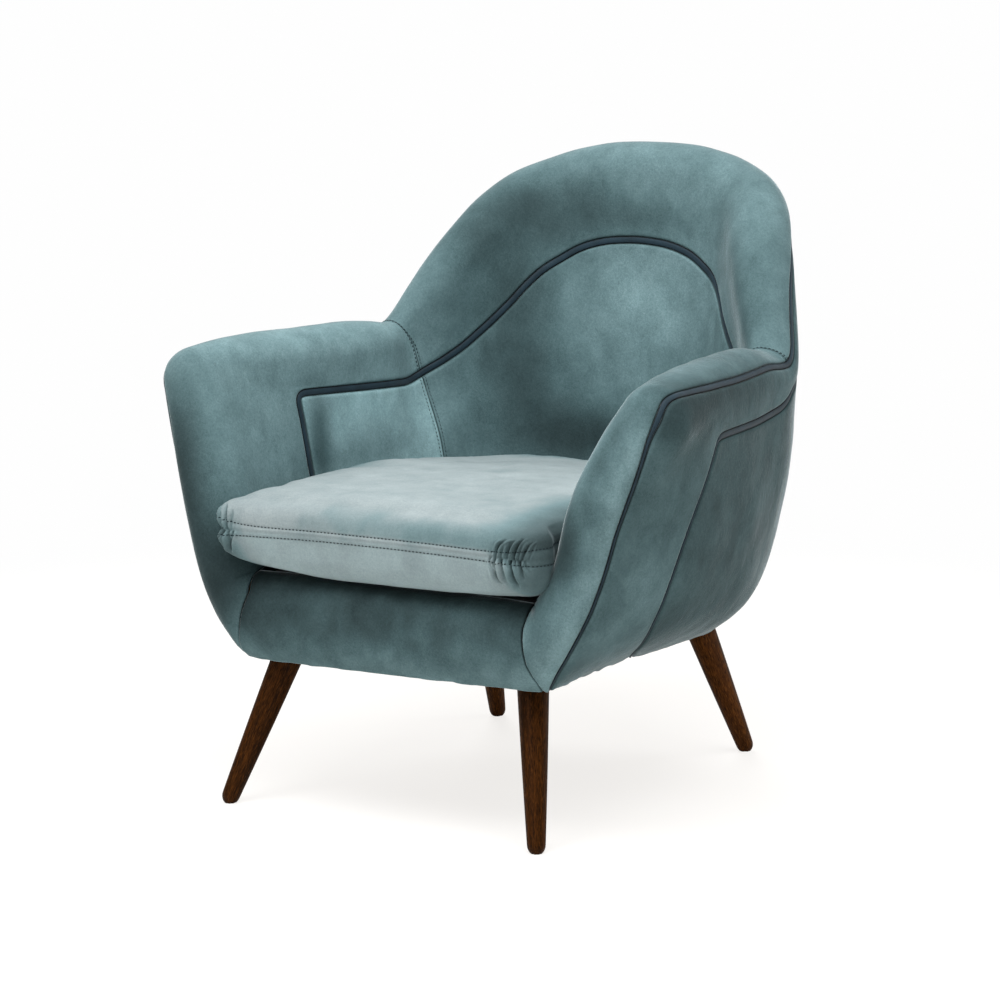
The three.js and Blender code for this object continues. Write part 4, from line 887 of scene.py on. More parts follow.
t_pipe = float(np.interp(0.2, INNER.fine[: INNER.corner * K, 1], np.arange(INNER.corner * K))) / K
strip_piece("piping_inner", wall_strip(INNER, -1, t_pipe, INNER.end()), "inner_piping", end_turn=False)
strip_piece("piping_outer_lower", wall_strip(OUTER2, 1, 0.0, OUTER2.end(), width=lower_width), "outer_piping_lower")
up_sts = front + fan_stations(9) + top_stations(0.012, 1.0, PLAIN_EDGE, PLAIN_EDGE, 850.0, 5.0)
offs = np.array([o for o, _ in PROFILE]) / WALL * 180 / math.pi
up_rows = {}
for turn in (0.0, 21.0):
    TURN[0] = turn
    up_rows[turn] = []
    for u, v, a in up_sts:
        k = len(offs)
        up_rows[turn].append(roll(np.full(k, u), np.full(k, v), np.full(k, a), outer1_angle(u, v, a) + offs * upper_width(u, v, a)))
TURN[0] = 0.0
strip_piece("piping_outer_upper", up_rows[0.0], "outer_piping_upper", other=up_rows[21.0])

# ------------------------------------------------------------------ front apron
APRON_PROF = [[0.17, -329, 316.2], [0.157, -345, 315.8], [0.14, -362, 312.5], [0.1, -377, 297], [0.06, -381, 255], [0.03, -377, 226], [0.012, -367, 208]]  # v of the seam, y, z at the middle


def apron_grid():
    seam_v = np.array([r[0] for r in APRON_PROF])
    knots = np.arange(len(seam_v), dtype=float)
    dk = second(knots)
    ends = []
    for v in seam_v:
        deg = float(smooth_table(APRON_T, v)) - 0.45 / WALL * 180 / math.pi
        q, m = roll(np.array([0.0]), np.array([v]), np.array([0.0]), np.array([deg]))
        ends.append(np.concatenate([q[0], m[0]]))
    ends = np.array(ends)
    prof = np.array([[y, z] for _, y, z in APRON_PROF], float)
    fine = np.linspace(0, len(seam_v) - 1, 31)
    w = weights(knots, dk, fine)
    vs = w @ seam_v
    vs[0], vs[-1] = seam_v[0], seam_v[-1]
    yz = w @ prof
    e = []
    for v in vs:
        deg = float(smooth_table(APRON_T, v)) - 0.45 / WALL * 180 / math.pi
        q, m = roll(np.array([0.0]), np.array([v]), np.array([0.0]), np.array([deg]))
        e.append(np.concatenate([q[0], m[0]]))
    e = np.array(e)
    e[:, 2] += np.clip((vs - 0.125) / 0.045, 0, 1) * np.maximum(316 - e[:, 2], 0)
    half_w = 225.0
    c_mm, _ = graded(2 * half_w, EDGE, EDGE, 7.0)
    t = c_mm / half_w - 1
    s, wgt = np.abs(t), np.abs(t) ** 3
    P = np.zeros((len(fine), len(t), 3))
    P[..., 0] = np.sign(t)[None] * s[None] * e[:, 0, None]
    P[..., 1] = lerp(yz[:, 0, None], e[:, 1, None], wgt[None])
    P[..., 2] = np.minimum(lerp(yz[:, 1, None], e[:, 2, None], wgt[None]), 319.0)
    # resample each column evenly from top to bottom, then turn it under
    cols = []
    for j in range(len(t)):
        L = np.linalg.norm(np.diff(P[:, j], axis=0), axis=1).sum()
        cols.append(resample(P[:, j], np.linspace(0, L, 24)))
    P = np.stack(cols, 1)
    du, dv = np.gradient(P, axis=0), np.gradient(P, axis=1)
    N = unit(np.cross(du, dv))
    if N[12, len(t) // 2, 1] > 0:
        N = -N
    return P[::-1], N[::-1]


def apron_nap(p, dist):
    """The pile turns lighter towards the turned-under edge."""
    low = np.clip((285 - p[..., 2] + 10 * vnoise(p, 45, 79)) / 75, 0, 1)
    crest = np.clip((p[..., 2] - 297) / 14, 0, 1)
    return 1.25 * low * low * (3 - 2 * low) - 0.75 * crest


ap, an = apron_grid()
finish_pad("apron_cover", ap, an, {"i0": None, "i1": None, "j0": (2.6, 4.5), "j1": (2.6, 4.5)}, 9.0, ["front_apron"], hem=True, crown=1.0, seed=71, hem_radius=8.0, amount=0.9, nap_extra=apron_nap)


# ------------------------------------------------------------------ stitches
def stitches(name, paths, body, slot, pitch=5.6, length=3.6, r=0.7, sink=0.0):
    """paths: list of (points, normals) in mm. Each stitch is a short thread that dips into the cloth at both ends."""
    verts, faces = [], []
    ring = 6
    prof = [(-0.5, 0.35, -0.75), (-0.38, 0.9, -0.12), (0.0, 1.0, 0.12), (0.38, 0.9, -0.12), (0.5, 0.35, -0.75)]
    for pts, nrm in paths:
        s = np.concatenate([[0], np.cumsum(np.linalg.norm(np.diff(pts, axis=0), axis=1))])
        total = s[-1]
        count = int(total / pitch)
        for k in range(count):
            c = (k + 0.5) * total / count
            base = len(verts)
            mid_n = unit(np.array([np.interp(c, s, nrm[:, a]) for a in range(3)]))
            for f, scale, lift in prof:
                x = min(max(c + f * length, 0), total)
                q = np.array([np.interp(x, s, pts[:, a]) for a in range(3)])
                x2 = min(x + 0.6, total)
                x1 = max(x - 0.6, 0)
                d = unit(np.array([np.interp(x2, s, pts[:, a]) - np.interp(x1, s, pts[:, a]) for a in range(3)]))
                b = unit(np.cross(d, mid_n))
                o = q + mid_n * (lift * r * 2 - sink)
                for i in range(ring):
                    g = i / ring * 2 * math.pi
                    verts.append(o + (b * math.cos(g) + mid_n * math.sin(g)) * r * scale)
            for a in range(len(prof) - 1):
                for i in range(ring):
                    j = (i + 1) % ring
                    faces.append([base + a * ring + i, base + (a + 1) * ring + i, base + (a + 1) * ring + j, base + a * ring + j])
            faces.append([base + i for i in range(ring)])
            faces.append([base + (len(prof) - 1) * ring + i for i in range(ring - 1, -1, -1)])
    ob = make_mesh(name, np.array(verts), faces)
    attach(ob, body)
    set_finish(ob, slot)
    pads[name] = ob
    return ob


K43 = SEAM_EDGE.index(4.3)
rim_rows_ = []
for side in ("right", "left"):
    q, n = rim_paths[side]
    hem_n = len(q) - len(n)
    rim_rows_.append((q[-1 - K43][1:-1], n[-1 - K43][1:-1]))
q, n = rim_paths["back"]
rim_rows_ += [(q[K43][1:-1], n[K43][1:-1]), (q[-1 - K43][1:-1], n[-1 - K43][1:-1])]
stitches("stitching_rim", rim_rows_, "chair", "piping_fabric")
inner_rows_ = []
for side in ("right", "left"):
    q, n = inner_paths[side]
    inner_rows_.append((q[:, -1 - K43][:-1], n[:, -1 - K43][:-1]))
q, n = inner_paths["back"]
inner_rows_ += [(q[K43][:-1], n[K43][:-1]), (q[-1 - K43][:-1], n[-1 - K43][:-1])]
stitches("stitching_inner", inner_rows_, "chair", "piping_fabric")

# ------------------------------------------------------------------ loose seat cushion
CUSH_US = [0.06, 0.14, 0.24, 0.34, 0.44, 0.53, 0.62, 0.71, 0.78]
ZIP_HALF, REAR_LINE = 96.0, 219.5
RINGS = [(316.2, 20, -371), (320.5, 9, -384), (331, 4, -394), (352, 3, -398), (378, 3, -399), (396, 4, -396), (408, 12, -388), (417, 34, -366)]  # height, clearance, front line


def bisect(f, lo, hi, times=34):
    for _ in range(times):
        m = (lo + hi) / 2
        if f(m):
            lo = m
        else:
            hi = m
    return (lo + hi) / 2


def one(fn, *args):
    p, n = fn(*[np.array([float(x)]) for x in args])
    return p[0], n[0]


inner_cache = {}


def inner_at(u, z):
    key = (round(u, 6), round(z, 4))
    if key not in inner_cache:
        us = np.full(400, u)
        vs = np.linspace(0, 1, 400)
        p, n = wall(us, vs, -1)
        zs = np.maximum.accumulate(p[:, 2])
        v = float(np.interp(z, zs, vs))
        p, n = wall(np.array([u]), np.array([v]), -1)
        inner_cache[key] = (p[0], n[0])
    return inner_cache[key]


def inset(u, z, c):
    p, n = inner_at(u, z)
    m = unit(np.array([n[0], n[1], 0.0]))
    return [p[0] + m[0] * c, p[1] + m[1] * c]


def roll_at(deg, z, c):
    vs = np.linspace(0, 1, 300)
    p, n = roll(np.zeros(300), vs, np.zeros(300), np.full(300, float(deg)))
    v = float(np.interp(z, np.maximum.accumulate(p[:, 2]), vs))
    p, n = roll(np.array([0.0]), np.array([v]), np.array([0.0]), np.array([float(deg)]))
    m = unit(np.array([n[0, 0], n[0, 1], 0.0]))
    return [p[0, 0] + m[0] * c, p[0, 1] + m[1] * c]


def inset_at_x(x, z, c):
    us = np.linspace(0.75, 1, 26)
    q = np.array([inset(float(u), z, c) for u in us])
    return float(np.interp(x, q[::-1, 0], q[::-1, 1]))


def cushion_loop(z, clear, front, d=0.0):
    c, yf, rear = clear + d, front + d * 1.15, REAR_LINE - d
    deg = -36
    while deg > -76 and roll_at(deg, z, c + 1.5)[1] < yf + 16:
        deg -= 4
    ax, ay = roll_at(deg, z, c + 1.5)
    half = [[0, yf], [0.45 * ax, yf + 0.3], [ax - 34, yf + 2], [ax - 12, yf + 8], [ax - 2, lerp(yf, ay, 0.6)], [ax, ay]]
    half += [roll_at(lerp(deg, -88, 0.46), z, c), roll_at(-88, z, c)]
    half += [inset(u, z, c) for u in CUSH_US]
    half += [[x, min(rear, inset_at_x(x, z, c))] for x in (105, 52, 0)]
    left = [[-x, y] for x, y in half[1:-1][::-1]]
    return np.array([[x, y, z] for x, y in half + left])


def periodic_second(knots, period):
    n = len(knots)
    h = np.diff(np.append(knots, period))
    a, r = np.zeros((n, n)), np.zeros((n, n))
    for i in range(n):
        p, q = h[i - 1], h[i]
        a[i, (i - 1) % n] += p
        a[i, i] += 2 * (p + q)
        a[i, (i + 1) % n] += q
        r[i, (i + 1) % n] += 6 / q
        r[i, i] -= 6 / q + 6 / p
        r[i, (i - 1) % n] += 6 / p
    return np.linalg.solve(a, r)


SEAM_ROW = 10
LOWER = [(1.0, 112.0), (0.992, 82.0), (0.972, 56.0), (0.935, 36.0), (0.85, 20.0), (0.70, 9.8), (0.5, 3.8), (0.26, 0.9)]  # share of the depth below the seam, how far drawn in
UPPER = [(0.2, 0.7), (0.4, 2.8), (0.58, 7.5), (0.73, 15.5), (0.84, 27.0), (0.92, 45.0), (0.97, 70.0), (0.99, 104.0)]


def cushion_net(inn=0.0):
    """Rows of the sack from the middle of the underside to the middle of the top."""
    base = cushion_loop(377.0, 3.0, -399.0, inn)
    xy = base[:, :2]
    t = unit(np.roll(xy, -1, 0) - np.roll(xy, 1, 0))
    out = np.stack([t[:, 1], -t[:, 0]], 1)
    mid_xy = np.array([0.0, -70.0])
    x, y = xy[:, 0], xy[:, 1]
    f = np.clip((120.0 - y) / 400.0, 0, 1)
    f = f * f * (3 - 2 * f)
    seam = 375.0 + f * (3.5 + 4.0 * (1 - np.clip(np.abs(x) / 225.0, 0, 1) ** 2)) + 1.5 * f * x / 225.0
    corner = np.exp(-((np.hypot(np.abs(x) - 246, y + 384) / 62.0) ** 2))
    rise_c = np.exp(-((np.hypot(np.abs(x) - 236, y + 350) / 75.0) ** 2))
    low_z, top_z = 316.2 + inn, 428.0 - inn
    fall = np.clip((y + 60) / 240.0, 0, 1)
    fall = 14.0 * fall * fall * (3 - 2 * fall)
    sideways = np.clip(np.abs(out[:, 0]) * 1.15 - 0.1, 0, 1) ** 1.5

    def drawn(d):
        near, far = min(d, 6.0), max(d - 6.0, 0.0)
        q = xy - out * near
        if far:
            k = np.array([1 - far / 255.0, 1 - far / 310.0])
            q = mid_xy + (q - mid_xy) * k
            soft = min(1.0, far / 60.0)
            for _ in range(int(round(soft * 5))):
                q = 0.5 * q + 0.25 * (np.roll(q, 1, 0) + np.roll(q, -1, 0))
        return q

    rows = []
    last = drawn(LOWER[0][1])
    for k in (0.15, 0.6):
        rows.append(np.column_stack([mid_xy + (last - mid_xy) * k, np.full(len(xy), low_z - 0.2)]))
    for share, d in LOWER:
        z = seam - (seam - low_z) * share * (1 - 0.16 * corner * math.exp(-((d / 55.0) ** 2)))
        rows.append(np.column_stack([drawn(d), z]))
    rows.append(np.column_stack([xy, seam]))
    for share, d in UPPER:
        full = share + (share ** 0.5 - share) * np.clip(0.7 * sideways + 0.7 * rise_c, 0, 0.92)
        z = seam + (top_z - seam) * full * (1 - 0.05 * corner * math.exp(-((d / 70.0) ** 2))) - fall * share
        rows.append(np.column_stack([drawn(d), z]))
    last = drawn(UPPER[-1][1])
    zl = rows[-1][:, 2]
    for k in (0.72, 0.42, 0.14):
        rows.append(np.column_stack([mid_xy + (last - mid_xy) * k, lerp(top_z, zl, k * k)]))
    return np.array(rows)


class Tensor:
    """A closed sack: periodic spline round, plain spline from the underside's middle to the top's."""

    def __init__(self, net):
        self.net = net
        ring = net[SEAM_ROW]
        seg = np.linalg.norm(np.roll(ring, -1, 0) - ring, axis=1)
        self.ku = np.concatenate([[0], np.cumsum(seg ** 0.8)])
        self.period = self.ku[-1]
        self.ku = self.ku[:-1]
        self.du = periodic_second(self.ku, self.period)
        prof = net[:, 0]
        self.kv = np.concatenate([[0], np.cumsum(np.linalg.norm(np.diff(prof, axis=0), axis=1) ** 0.75)])
        self.dv = second(self.kv)

    def round_weights(self, s):
        s = np.mod(s, self.period)
        n = len(self.ku)
        i = np.searchsorted(self.ku, s, side="right") - 1
        nxt = np.append(self.ku, self.period)
        h = nxt[i + 1] - nxt[i]
        t, a = s - nxt[i], nxt[i + 1] - s
        j = (i + 1) % n
        w = self.du[i] * (a ** 3 / (6 * h) - h * a / 6)[:, None] + self.du[j] * (t ** 3 / (6 * h) - h * t / 6)[:, None]
        k = np.arange(len(s))
        w[k, i] += a / h
        w[k, j] += t / h
        return w

    def grid(self, s, v):
        wu, wv = self.round_weights(s), weights(self.kv, self.dv, v)
        return np.einsum("vi,uj,ijk->vuk", wv, wu, self.net)


def grid_normals(p):
    """Normals of a closed-round grid (rings, round, 3), facing out."""
    dr = np.gradient(p, axis=0)
    ds = (np.roll(p, -1, 1) - np.roll(p, 1, 1)) / 2
    return unit(np.cross(ds, dr))


def sack_mesh(name, p, poles, attributes=None, inner=None):
    """Closed mesh from rings (bottom first) and its two poles; inner is another (p, poles) turned inside out."""
    verts, faces = [], []

    def add(p, poles, turned):
        base = sum(len(v) for v in verts)
        rings, n = p.shape[:2]
        verts.append(p.reshape(-1, 3))
        verts.append(np.array(poles, float))
        lo, hi = base + rings * n, base + rings * n + 1
        for i in range(rings - 1):
            for j in range(n):
                k = (j + 1) % n
                f = [base + i * n + j, base + i * n + k, base + (i + 1) * n + k, base + (i + 1) * n + j]
                faces.append(f[::-1] if turned else f)
        for j in range(n):
            k = (j + 1) % n
            a, b = [lo, base + k, base + j], [hi, base + (rings - 1) * n + j, base + (rings - 1) * n + k]
            faces.append(a[::-1] if turned else a)
            faces.append(b[::-1] if turned else b)

    add(p, poles, False)
    outer_count = p.shape[0] * p.shape[1] + 2
    if inner is not None:
        add(*inner, True)
    total = sum(len(v) for v in verts)
    mesh = bpy.data.meshes.new(name)
    mesh.from_pydata((np.concatenate(verts) / 1000.0).tolist(), [], faces)
    mesh.polygons.foreach_set("use_smooth", [True] * len(mesh.polygons))
    for key, values in (attributes or {}).items():
        at = mesh.attributes.new(key, "FLOAT", "POINT")
        full = np.full(total, float(np.mean(values)), np.float32)
        full[: outer_count - 2] = np.asarray(values, np.float32).ravel()
        at.data.foreach_set("value", full)
    ob = bpy.data.objects.new(name, mesh)
    scene.collection.objects.link(ob)
    return ob


sack = Tensor(cushion_net())
# even reading along the sack's waist and along its profile
ss = np.linspace(0, sack.period, 4001)
v_seam = float(sack.kv[SEAM_ROW])
waist = sack.grid(ss, np.array([v_seam]))[0]
waist_len = np.concatenate([[0], np.cumsum(np.linalg.norm(np.diff(waist, axis=0), axis=1))])
GIRTH = waist_len[-1]
CORNER, CORNER_LEFT = 218.0, 246.0  # length along the waist from the front's middle to the gathers, right and left
vv = np.linspace(0, sack.kv[-1], 2001)
prof = sack.grid(np.array([0.0]), vv)[:, 0]
prof_len = np.concatenate([[0], np.cumsum(np.linalg.norm(np.diff(prof, axis=0), axis=1))])
seam_len = float(np.interp(v_seam, vv, prof_len))


def uneven(length, marks, coarse):
    """Positions from 0 to length, `fine` apart within `reach` of each mark and `coarse` apart elsewhere."""
    out, x = [0.0], 0.0
    while x < length:
        step = coarse
        for at, reach, fine in marks:
            d = max(0.0, abs(x - at) - reach)
            step = min(step, fine + d * 0.22)
        x += step
        out.append(x)
    out = np.array(out)
    return out * (length / out[-1])


half_girth = GIRTH / 2
pos = uneven(half_girth, [((CORNER + CORNER_LEFT) / 2, 58, 1.25)], 6.5)
pos = np.concatenate([pos, (GIRTH - pos[1:-1])[::-1]])
rise = uneven(prof_len[-1], [(seam_len, 30, 1.25)], 7.5)[1:-1]
S = np.interp(pos, waist_len, ss)
V = np.interp(rise, prof_len, vv)
P = sack.grid(S, V)
N = grid_normals(P)
centre = P.mean(axis=(0, 1))
if np.sum(N[len(V) // 2] * (P[len(V) // 2] - centre)) < 0:
    N = -N
poles = [sack.grid(S, np.array([0.0]))[0].mean(0), sack.grid(S, np.array([sack.kv[-1]]))[0].mean(0)]


def settle_cloth(p, poles):
    """The sack blown up a little as cloth: how far each point of the grid moves, in mm."""
    src = sack_mesh("cloth_source", p[::2, ::3], poles)
    bpy.context.view_layer.objects.active = src
    re = src.modifiers.new("re", "REMESH")
    re.mode, re.voxel_size = "VOXEL", 0.0085
    dg = bpy.context.evaluated_depsgraph_get()
    mesh = bpy.data.meshes.new_from_object(src.evaluated_get(dg))
    bpy.data.objects.remove(src)
    ob = bpy.data.objects.new("cloth_try", mesh)
    scene.collection.objects.link(ob)
    co0 = np.zeros(len(mesh.vertices) * 3)
    mesh.vertices.foreach_get("co", co0)
    co0 = co0.reshape(-1, 3)
    rng = vnoise(co0 * 1000, 46, 91)
    nrm = np.zeros(len(mesh.vertices) * 3)
    mesh.vertices.foreach_get("normal", nrm)
    nrm = nrm.reshape(-1, 3)
    mesh.vertices.foreach_set("co", (co0 + nrm * rng[:, None] * 0.0012).ravel())
    mod = ob.modifiers.new("cloth", "CLOTH")
    st = mod.settings
    st.quality = 6
    st.mass = 0.35
    st.use_pressure = True
    st.uniform_pressure_force = 3.2
    st.tension_stiffness, st.compression_stiffness = 22, 22
    st.shear_stiffness, st.bending_stiffness = 12, 0.9
    st.shrink_min = -0.012
    st.effector_weights.gravity = 0
    mod.collision_settings.use_collision = False
    mod.collision_settings.use_self_collision = False
    mod.point_cache.frame_start, mod.point_cache.frame_end = 1, 20
    for f in range(1, 21):
        scene.frame_set(f)
        dg = bpy.context.evaluated_depsgraph_get()
        ev = ob.evaluated_get(dg)
        if f == 20:
            co1 = np.zeros(len(co0) * 3)
            ev.data.vertices.foreach_get("co", co1)
            co1 = co1.reshape(-1, 3)
    tris = []
    mesh.vertices.foreach_set("co", co0.ravel())
    for f in mesh.polygons:
        v = list(f.vertices)
        tris.append(v[:3])
        if len(v) == 4:
            tris.append([v[0], v[2], v[3]])
    tree = BVHTree.FromPolygons([tuple(c) for c in co0], tris)
    move = (co1 - co0) * 1000
    size = np.linalg.norm(move, axis=1, keepdims=True)
    move = move * np.minimum(1, 9.0 / np.maximum(size, 1e-6))
    flat = p.reshape(-1, 3) / 1000
    out = np.zeros_like(flat)
    for i, q in enumerate(flat):
        loc, _, idx, _ = tree.find_nearest(Vector(q))
        a, b, c = tris[idx]
        A, B, C = co0[a], co0[b], co0[c]
        v0, v1, v2 = B - A, C - A, np.array(loc) - A
        d00, d01, d11, d20, d21 = v0 @ v0, v0 @ v1, v1 @ v1, v2 @ v0, v2 @ v1
        den = d00 * d11 - d01 * d01
        y, z = ((d11 * d20 - d01 * d21) / den, (d00 * d21 - d01 * d20) / den) if abs(den) > 1e-20 else (0.33, 0.33)
        out[i] = move[a] * (1 - y - z) + move[b] * y + move[c] * z
    bpy.data.objects.remove(ob)
    scene.frame_set(1)
    return out.reshape(p.shape)


# along[] and up[]: where each point is round the waist and above or below the seam, in mm
along = np.broadcast_to(pos[None, :], P.shape[:2])
up = np.broadcast_to((rise - seam_len)[:, None], P.shape[:2])
moved = settle_cloth(P, poles)
stay = np.clip((P[..., 2] - 322) / 30, 0, 1)  # the underside stays on the deck
out_n = np.sum(moved * N, -1)
out_n = out_n - np.median(out_n)
print("cloth moved", float(out_n.min()), float(out_n.max()))
SIM = np.clip(out_n, -2.5, 5) * stay


def seam_profile(d):
    """Height across the seam at distance d: a fine groove, swelling between it and the stitch rows."""
    h = -0.35 * np.exp(-np.abs(d) / 0.8) - 1.05 * np.exp(-((np.abs(d) - 6.3) / 1.0) ** 2)
    return h + 0.35 * np.exp(-((np.abs(d) - 3.1) / 1.9) ** 2)


GATHERS = [  # (place round the waist from the corner, lean, length, depth, width), above the seam then below it
    [(-37, 4, 22, 1.5, 2.0), (-28, 17, 33, 3.0, 2.8), (-18, 10, 19, 1.5, 1.7), (-10, 13, 26, 2.5, 2.5), (-2, 9, 17, 1.4, 1.6), (6, 15, 25, 2.5, 2.5), (15, 13, 18, 1.5, 1.8), (24, 16, 17, 1.6, 2.0), (34, 12, 12, 0.8, 1.6)],
    [(-39, 10, 34, 2.4, 2.4), (-29, 7, 33, 3.2, 2.9), (-17, 11, 30, 2.6, 2.5), (-9, 9, 20, 1.4, 1.6), (0, 12, 35, 3.0, 2.9), (10, 9, 18, 1.4, 1.7), (18, 9, 26, 2.3, 2.4), (29, 6, 14, 0.9, 1.6)],
]


def gathers(along, up, corner, sign, seed, spread=1.0, depth_k=1.5):
    """Folds that run out of the drawn-in seam, and how deep in a fold each point is."""
    h = np.zeros(along.shape)
    near_c = np.abs(along - corner) < 80
    x = (along - corner) * sign
    rng = np.random.default_rng(seed)
    for side, rows in ((1, GATHERS[0]), (-1, GATHERS[1])):
        d = up * side
        for s0, lean, length, depth, width in rows:
            s0 = s0 * spread + rng.uniform(-1.5, 1.5)
            lean, length = lean * rng.uniform(0.8, 1.25) * spread, (min(length, 24) if side > 0 else length * 1.3) * rng.uniform(0.85, 1.15)
            t = np.clip(d / length, 0, 1.3)
            line = s0 + lean * t ** 1.4 + 0.8 * np.sin(t * 3 + s0)
            fade = np.clip(1 - t, 0, 1) ** 0.65 * (d >= 0) * (1 - 0.5 * np.exp(-((d / 4.0) ** 2)))
            w = width * (0.72 + 0.75 * t)
            off = x - line
            h += fade * depth * depth_k * (-np.exp(-((off / w) ** 2)) + 0.75 * np.exp(-(((off - 1.9 * w) / (w * 1.15)) ** 2)) + 0.5 * np.exp(-(((off + 1.9 * w) / (w * 1.15)) ** 2)))
    # tight little folds between the stitch rows
    reach = 32 * spread
    band = np.exp(-((up / 6.8) ** 4)) * np.exp(-((x / reach) ** 4))
    h += band * 1.0 * np.sin(x / 1.9 + 1.3 * np.sin(x / 5.0) + 0.25 * up) * (0.35 + 0.65 * np.clip(np.abs(up) / 5.0, 0, 1))
    folds = np.clip(-h, 0, 4) * near_c
    h -= 2.6 * np.exp(-((x / (reach + 4)) ** 4)) * np.exp(-((up / 10) ** 2))  # the seam is drawn in
    h += 1.4 * np.exp(-((x / (reach + 10)) ** 4)) * np.exp(-(((np.abs(up) - 24) / 13) ** 2))
    return h * near_c, folds


H = SIM.copy()
slow = vnoise(P, (90, 70, 60), 101)
H += 1.3 * slow + 0.45 * vnoise(P, 33, 102)
side_w = np.exp(-((up / 14) ** 2))
H = H * (1 - 0.65 * side_w)
zip_w = (np.abs(P[..., 0]) < ZIP_HALF + 8) & (P[..., 1] > 100)
fade_zip = np.clip((np.abs(P[..., 0]) - ZIP_HALF) / 8, 0, 1)
seam = seam_profile(up)
H += np.where(P[..., 1] > 100, seam * fade_zip, seam)
H += -0.9 * np.exp(-((up / 20) ** 2))  # the seam sits a little below the swelling above and under it
folds = np.zeros(P.shape[:2])
for where, sign, seed, spread, deep in ((CORNER - 6, 1, 5, 0.74, 3.3), (GIRTH - CORNER_LEFT, -1, 9, 0.66, 3.5)):
    gh, gf = gathers(along, up, where, sign, seed, spread, deep)
    H += gh
    folds += gf
# long soft creases of the top panel where it is pulled towards the front corners
top_w = np.clip((P[..., 2] - 398) / 16, 0, 1)
H += top_w * 0.9 * vnoise(P, (160, 30, 80), 103)
Q = P + N * H[..., None]
# recess for the zip at the back
rec = (np.abs(Q[..., 0]) < ZIP_HALF + 0.6) & (P[..., 1] > 150) & (P[..., 2] > 370.6) & (P[..., 2] < 379.4)
Q[..., 1] = np.where(rec, np.minimum(Q[..., 1], REAR_LINE - 2.9), Q[..., 1])
poles_out = [poles[0], poles[1] + np.array([0, 0, float(H[-1].mean())])]

def cushion_nap(up, p):
    """Below the seam the pile of the front lies downwards and light, above it upwards and dark; the crown is lighter again."""
    front = np.clip((-300 - p[..., 1]) / 60, 0, 1)
    wob = 8 * vnoise(p, 60, 81)
    below = np.clip((-up - 3) / 8, 0, 1) * np.clip((95 + up) / 30, 0, 1)
    above = np.clip((up - 3) / 8, 0, 1) * np.clip((62 - up + wob) / 40, 0, 1)
    left = np.clip((-60 - p[..., 0]) / 120, 0, 1)
    return front * ((0.14 + 0.1 * left) * below - 0.56 * np.clip((p[..., 0] + 150) / 200, 0, 1) * above - (0.14 - 0.1 * left) * np.clip((5 - np.abs(up)) / 3, 0, 1)) - 0.12 * np.clip((-120 - p[..., 1]) / 120, 0, 1)


sack_in = Tensor(cushion_net(8.5))
s_in = np.linspace(0, sack_in.period, 160, endpoint=False)
v_in = np.linspace(0, sack_in.kv[-1], 66)[1:-1]
P_in = sack_in.grid(s_in, v_in)
poles_in = [sack_in.grid(s_in, np.array([0.0]))[0].mean(0), sack_in.grid(s_in, np.array([sack_in.kv[-1]]))[0].mean(0)]
edge_attr = np.minimum(np.abs(up) * 3.0 + 2.8, 4.0)
edge_attr = np.minimum(edge_attr, 2.3 + 1.6 * np.abs(np.abs(up) - 6.3)) - 0.7 * folds
edge_attr = np.where(edge_attr < 4.0, edge_attr, 4.0)
cover = sack_mesh("seat_cushion_cover", Q, poles_out, {"edge": edge_attr, "nap": nap_value(Q, 0.0, 0.09, 3) + cushion_nap(up, Q) - 0.09 * folds, "tint": 0.34 * np.clip((-300 - Q[..., 1]) / 60, 0, 1) * np.clip((6 - up) / 8, 0, 1)}, inner=(P_in, poles_in))
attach(cover, "seat_cushion")
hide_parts("cushion_cover")
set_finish(cover, "cushion_velvet")
pads["seat_cushion_cover"] = cover
sack_core = Tensor(cushion_net(10.0))
s_in = np.linspace(0, sack_core.period, 140, endpoint=False)
v_in = np.linspace(0, sack_core.kv[-1], 56)[1:-1]
P_c = sack_core.grid(s_in, v_in)
poles_c = [sack_core.grid(s_in, np.array([0.0]))[0].mean(0), sack_core.grid(s_in, np.array([sack_core.kv[-1]]))[0].mean(0)]
core = sack_mesh("seat_cushion_core", P_c, poles_c)
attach(core, "seat_cushion")
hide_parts("cushion_foam_core")
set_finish(core, "cushion_foam")
pads["seat_cushion_core"] = core

# topstitching each side of the seam, all round but for the zip
rows_ = []
for d in (-6.3, 6.3):
    i = int(np.argmin(np.abs(rise - seam_len - d)))
    q, m = Q[i], N[i]
    away = ~((np.abs(q[:, 0]) < ZIP_HALF + 10) & (q[:, 1] > 150))
    start = int(np.argmax(~away))
    order = (np.arange(len(q)) + start) % len(q)
    run = [k for k in order if away[k]]
    rows_.append((q[run], m[run]))
stitches("stitching_cushion", rows_, "seat_cushion", "piping_fabric", pitch=5.6, length=3.6, r=0.85, sink=-0.1)

# ------------------------------------------------------------------ legs
LEG_FRONT = ((244.0, -382.6), (195.3, -311.5))
LEG_REAR = ((210.8, 252.4), (180.1, 164.7))


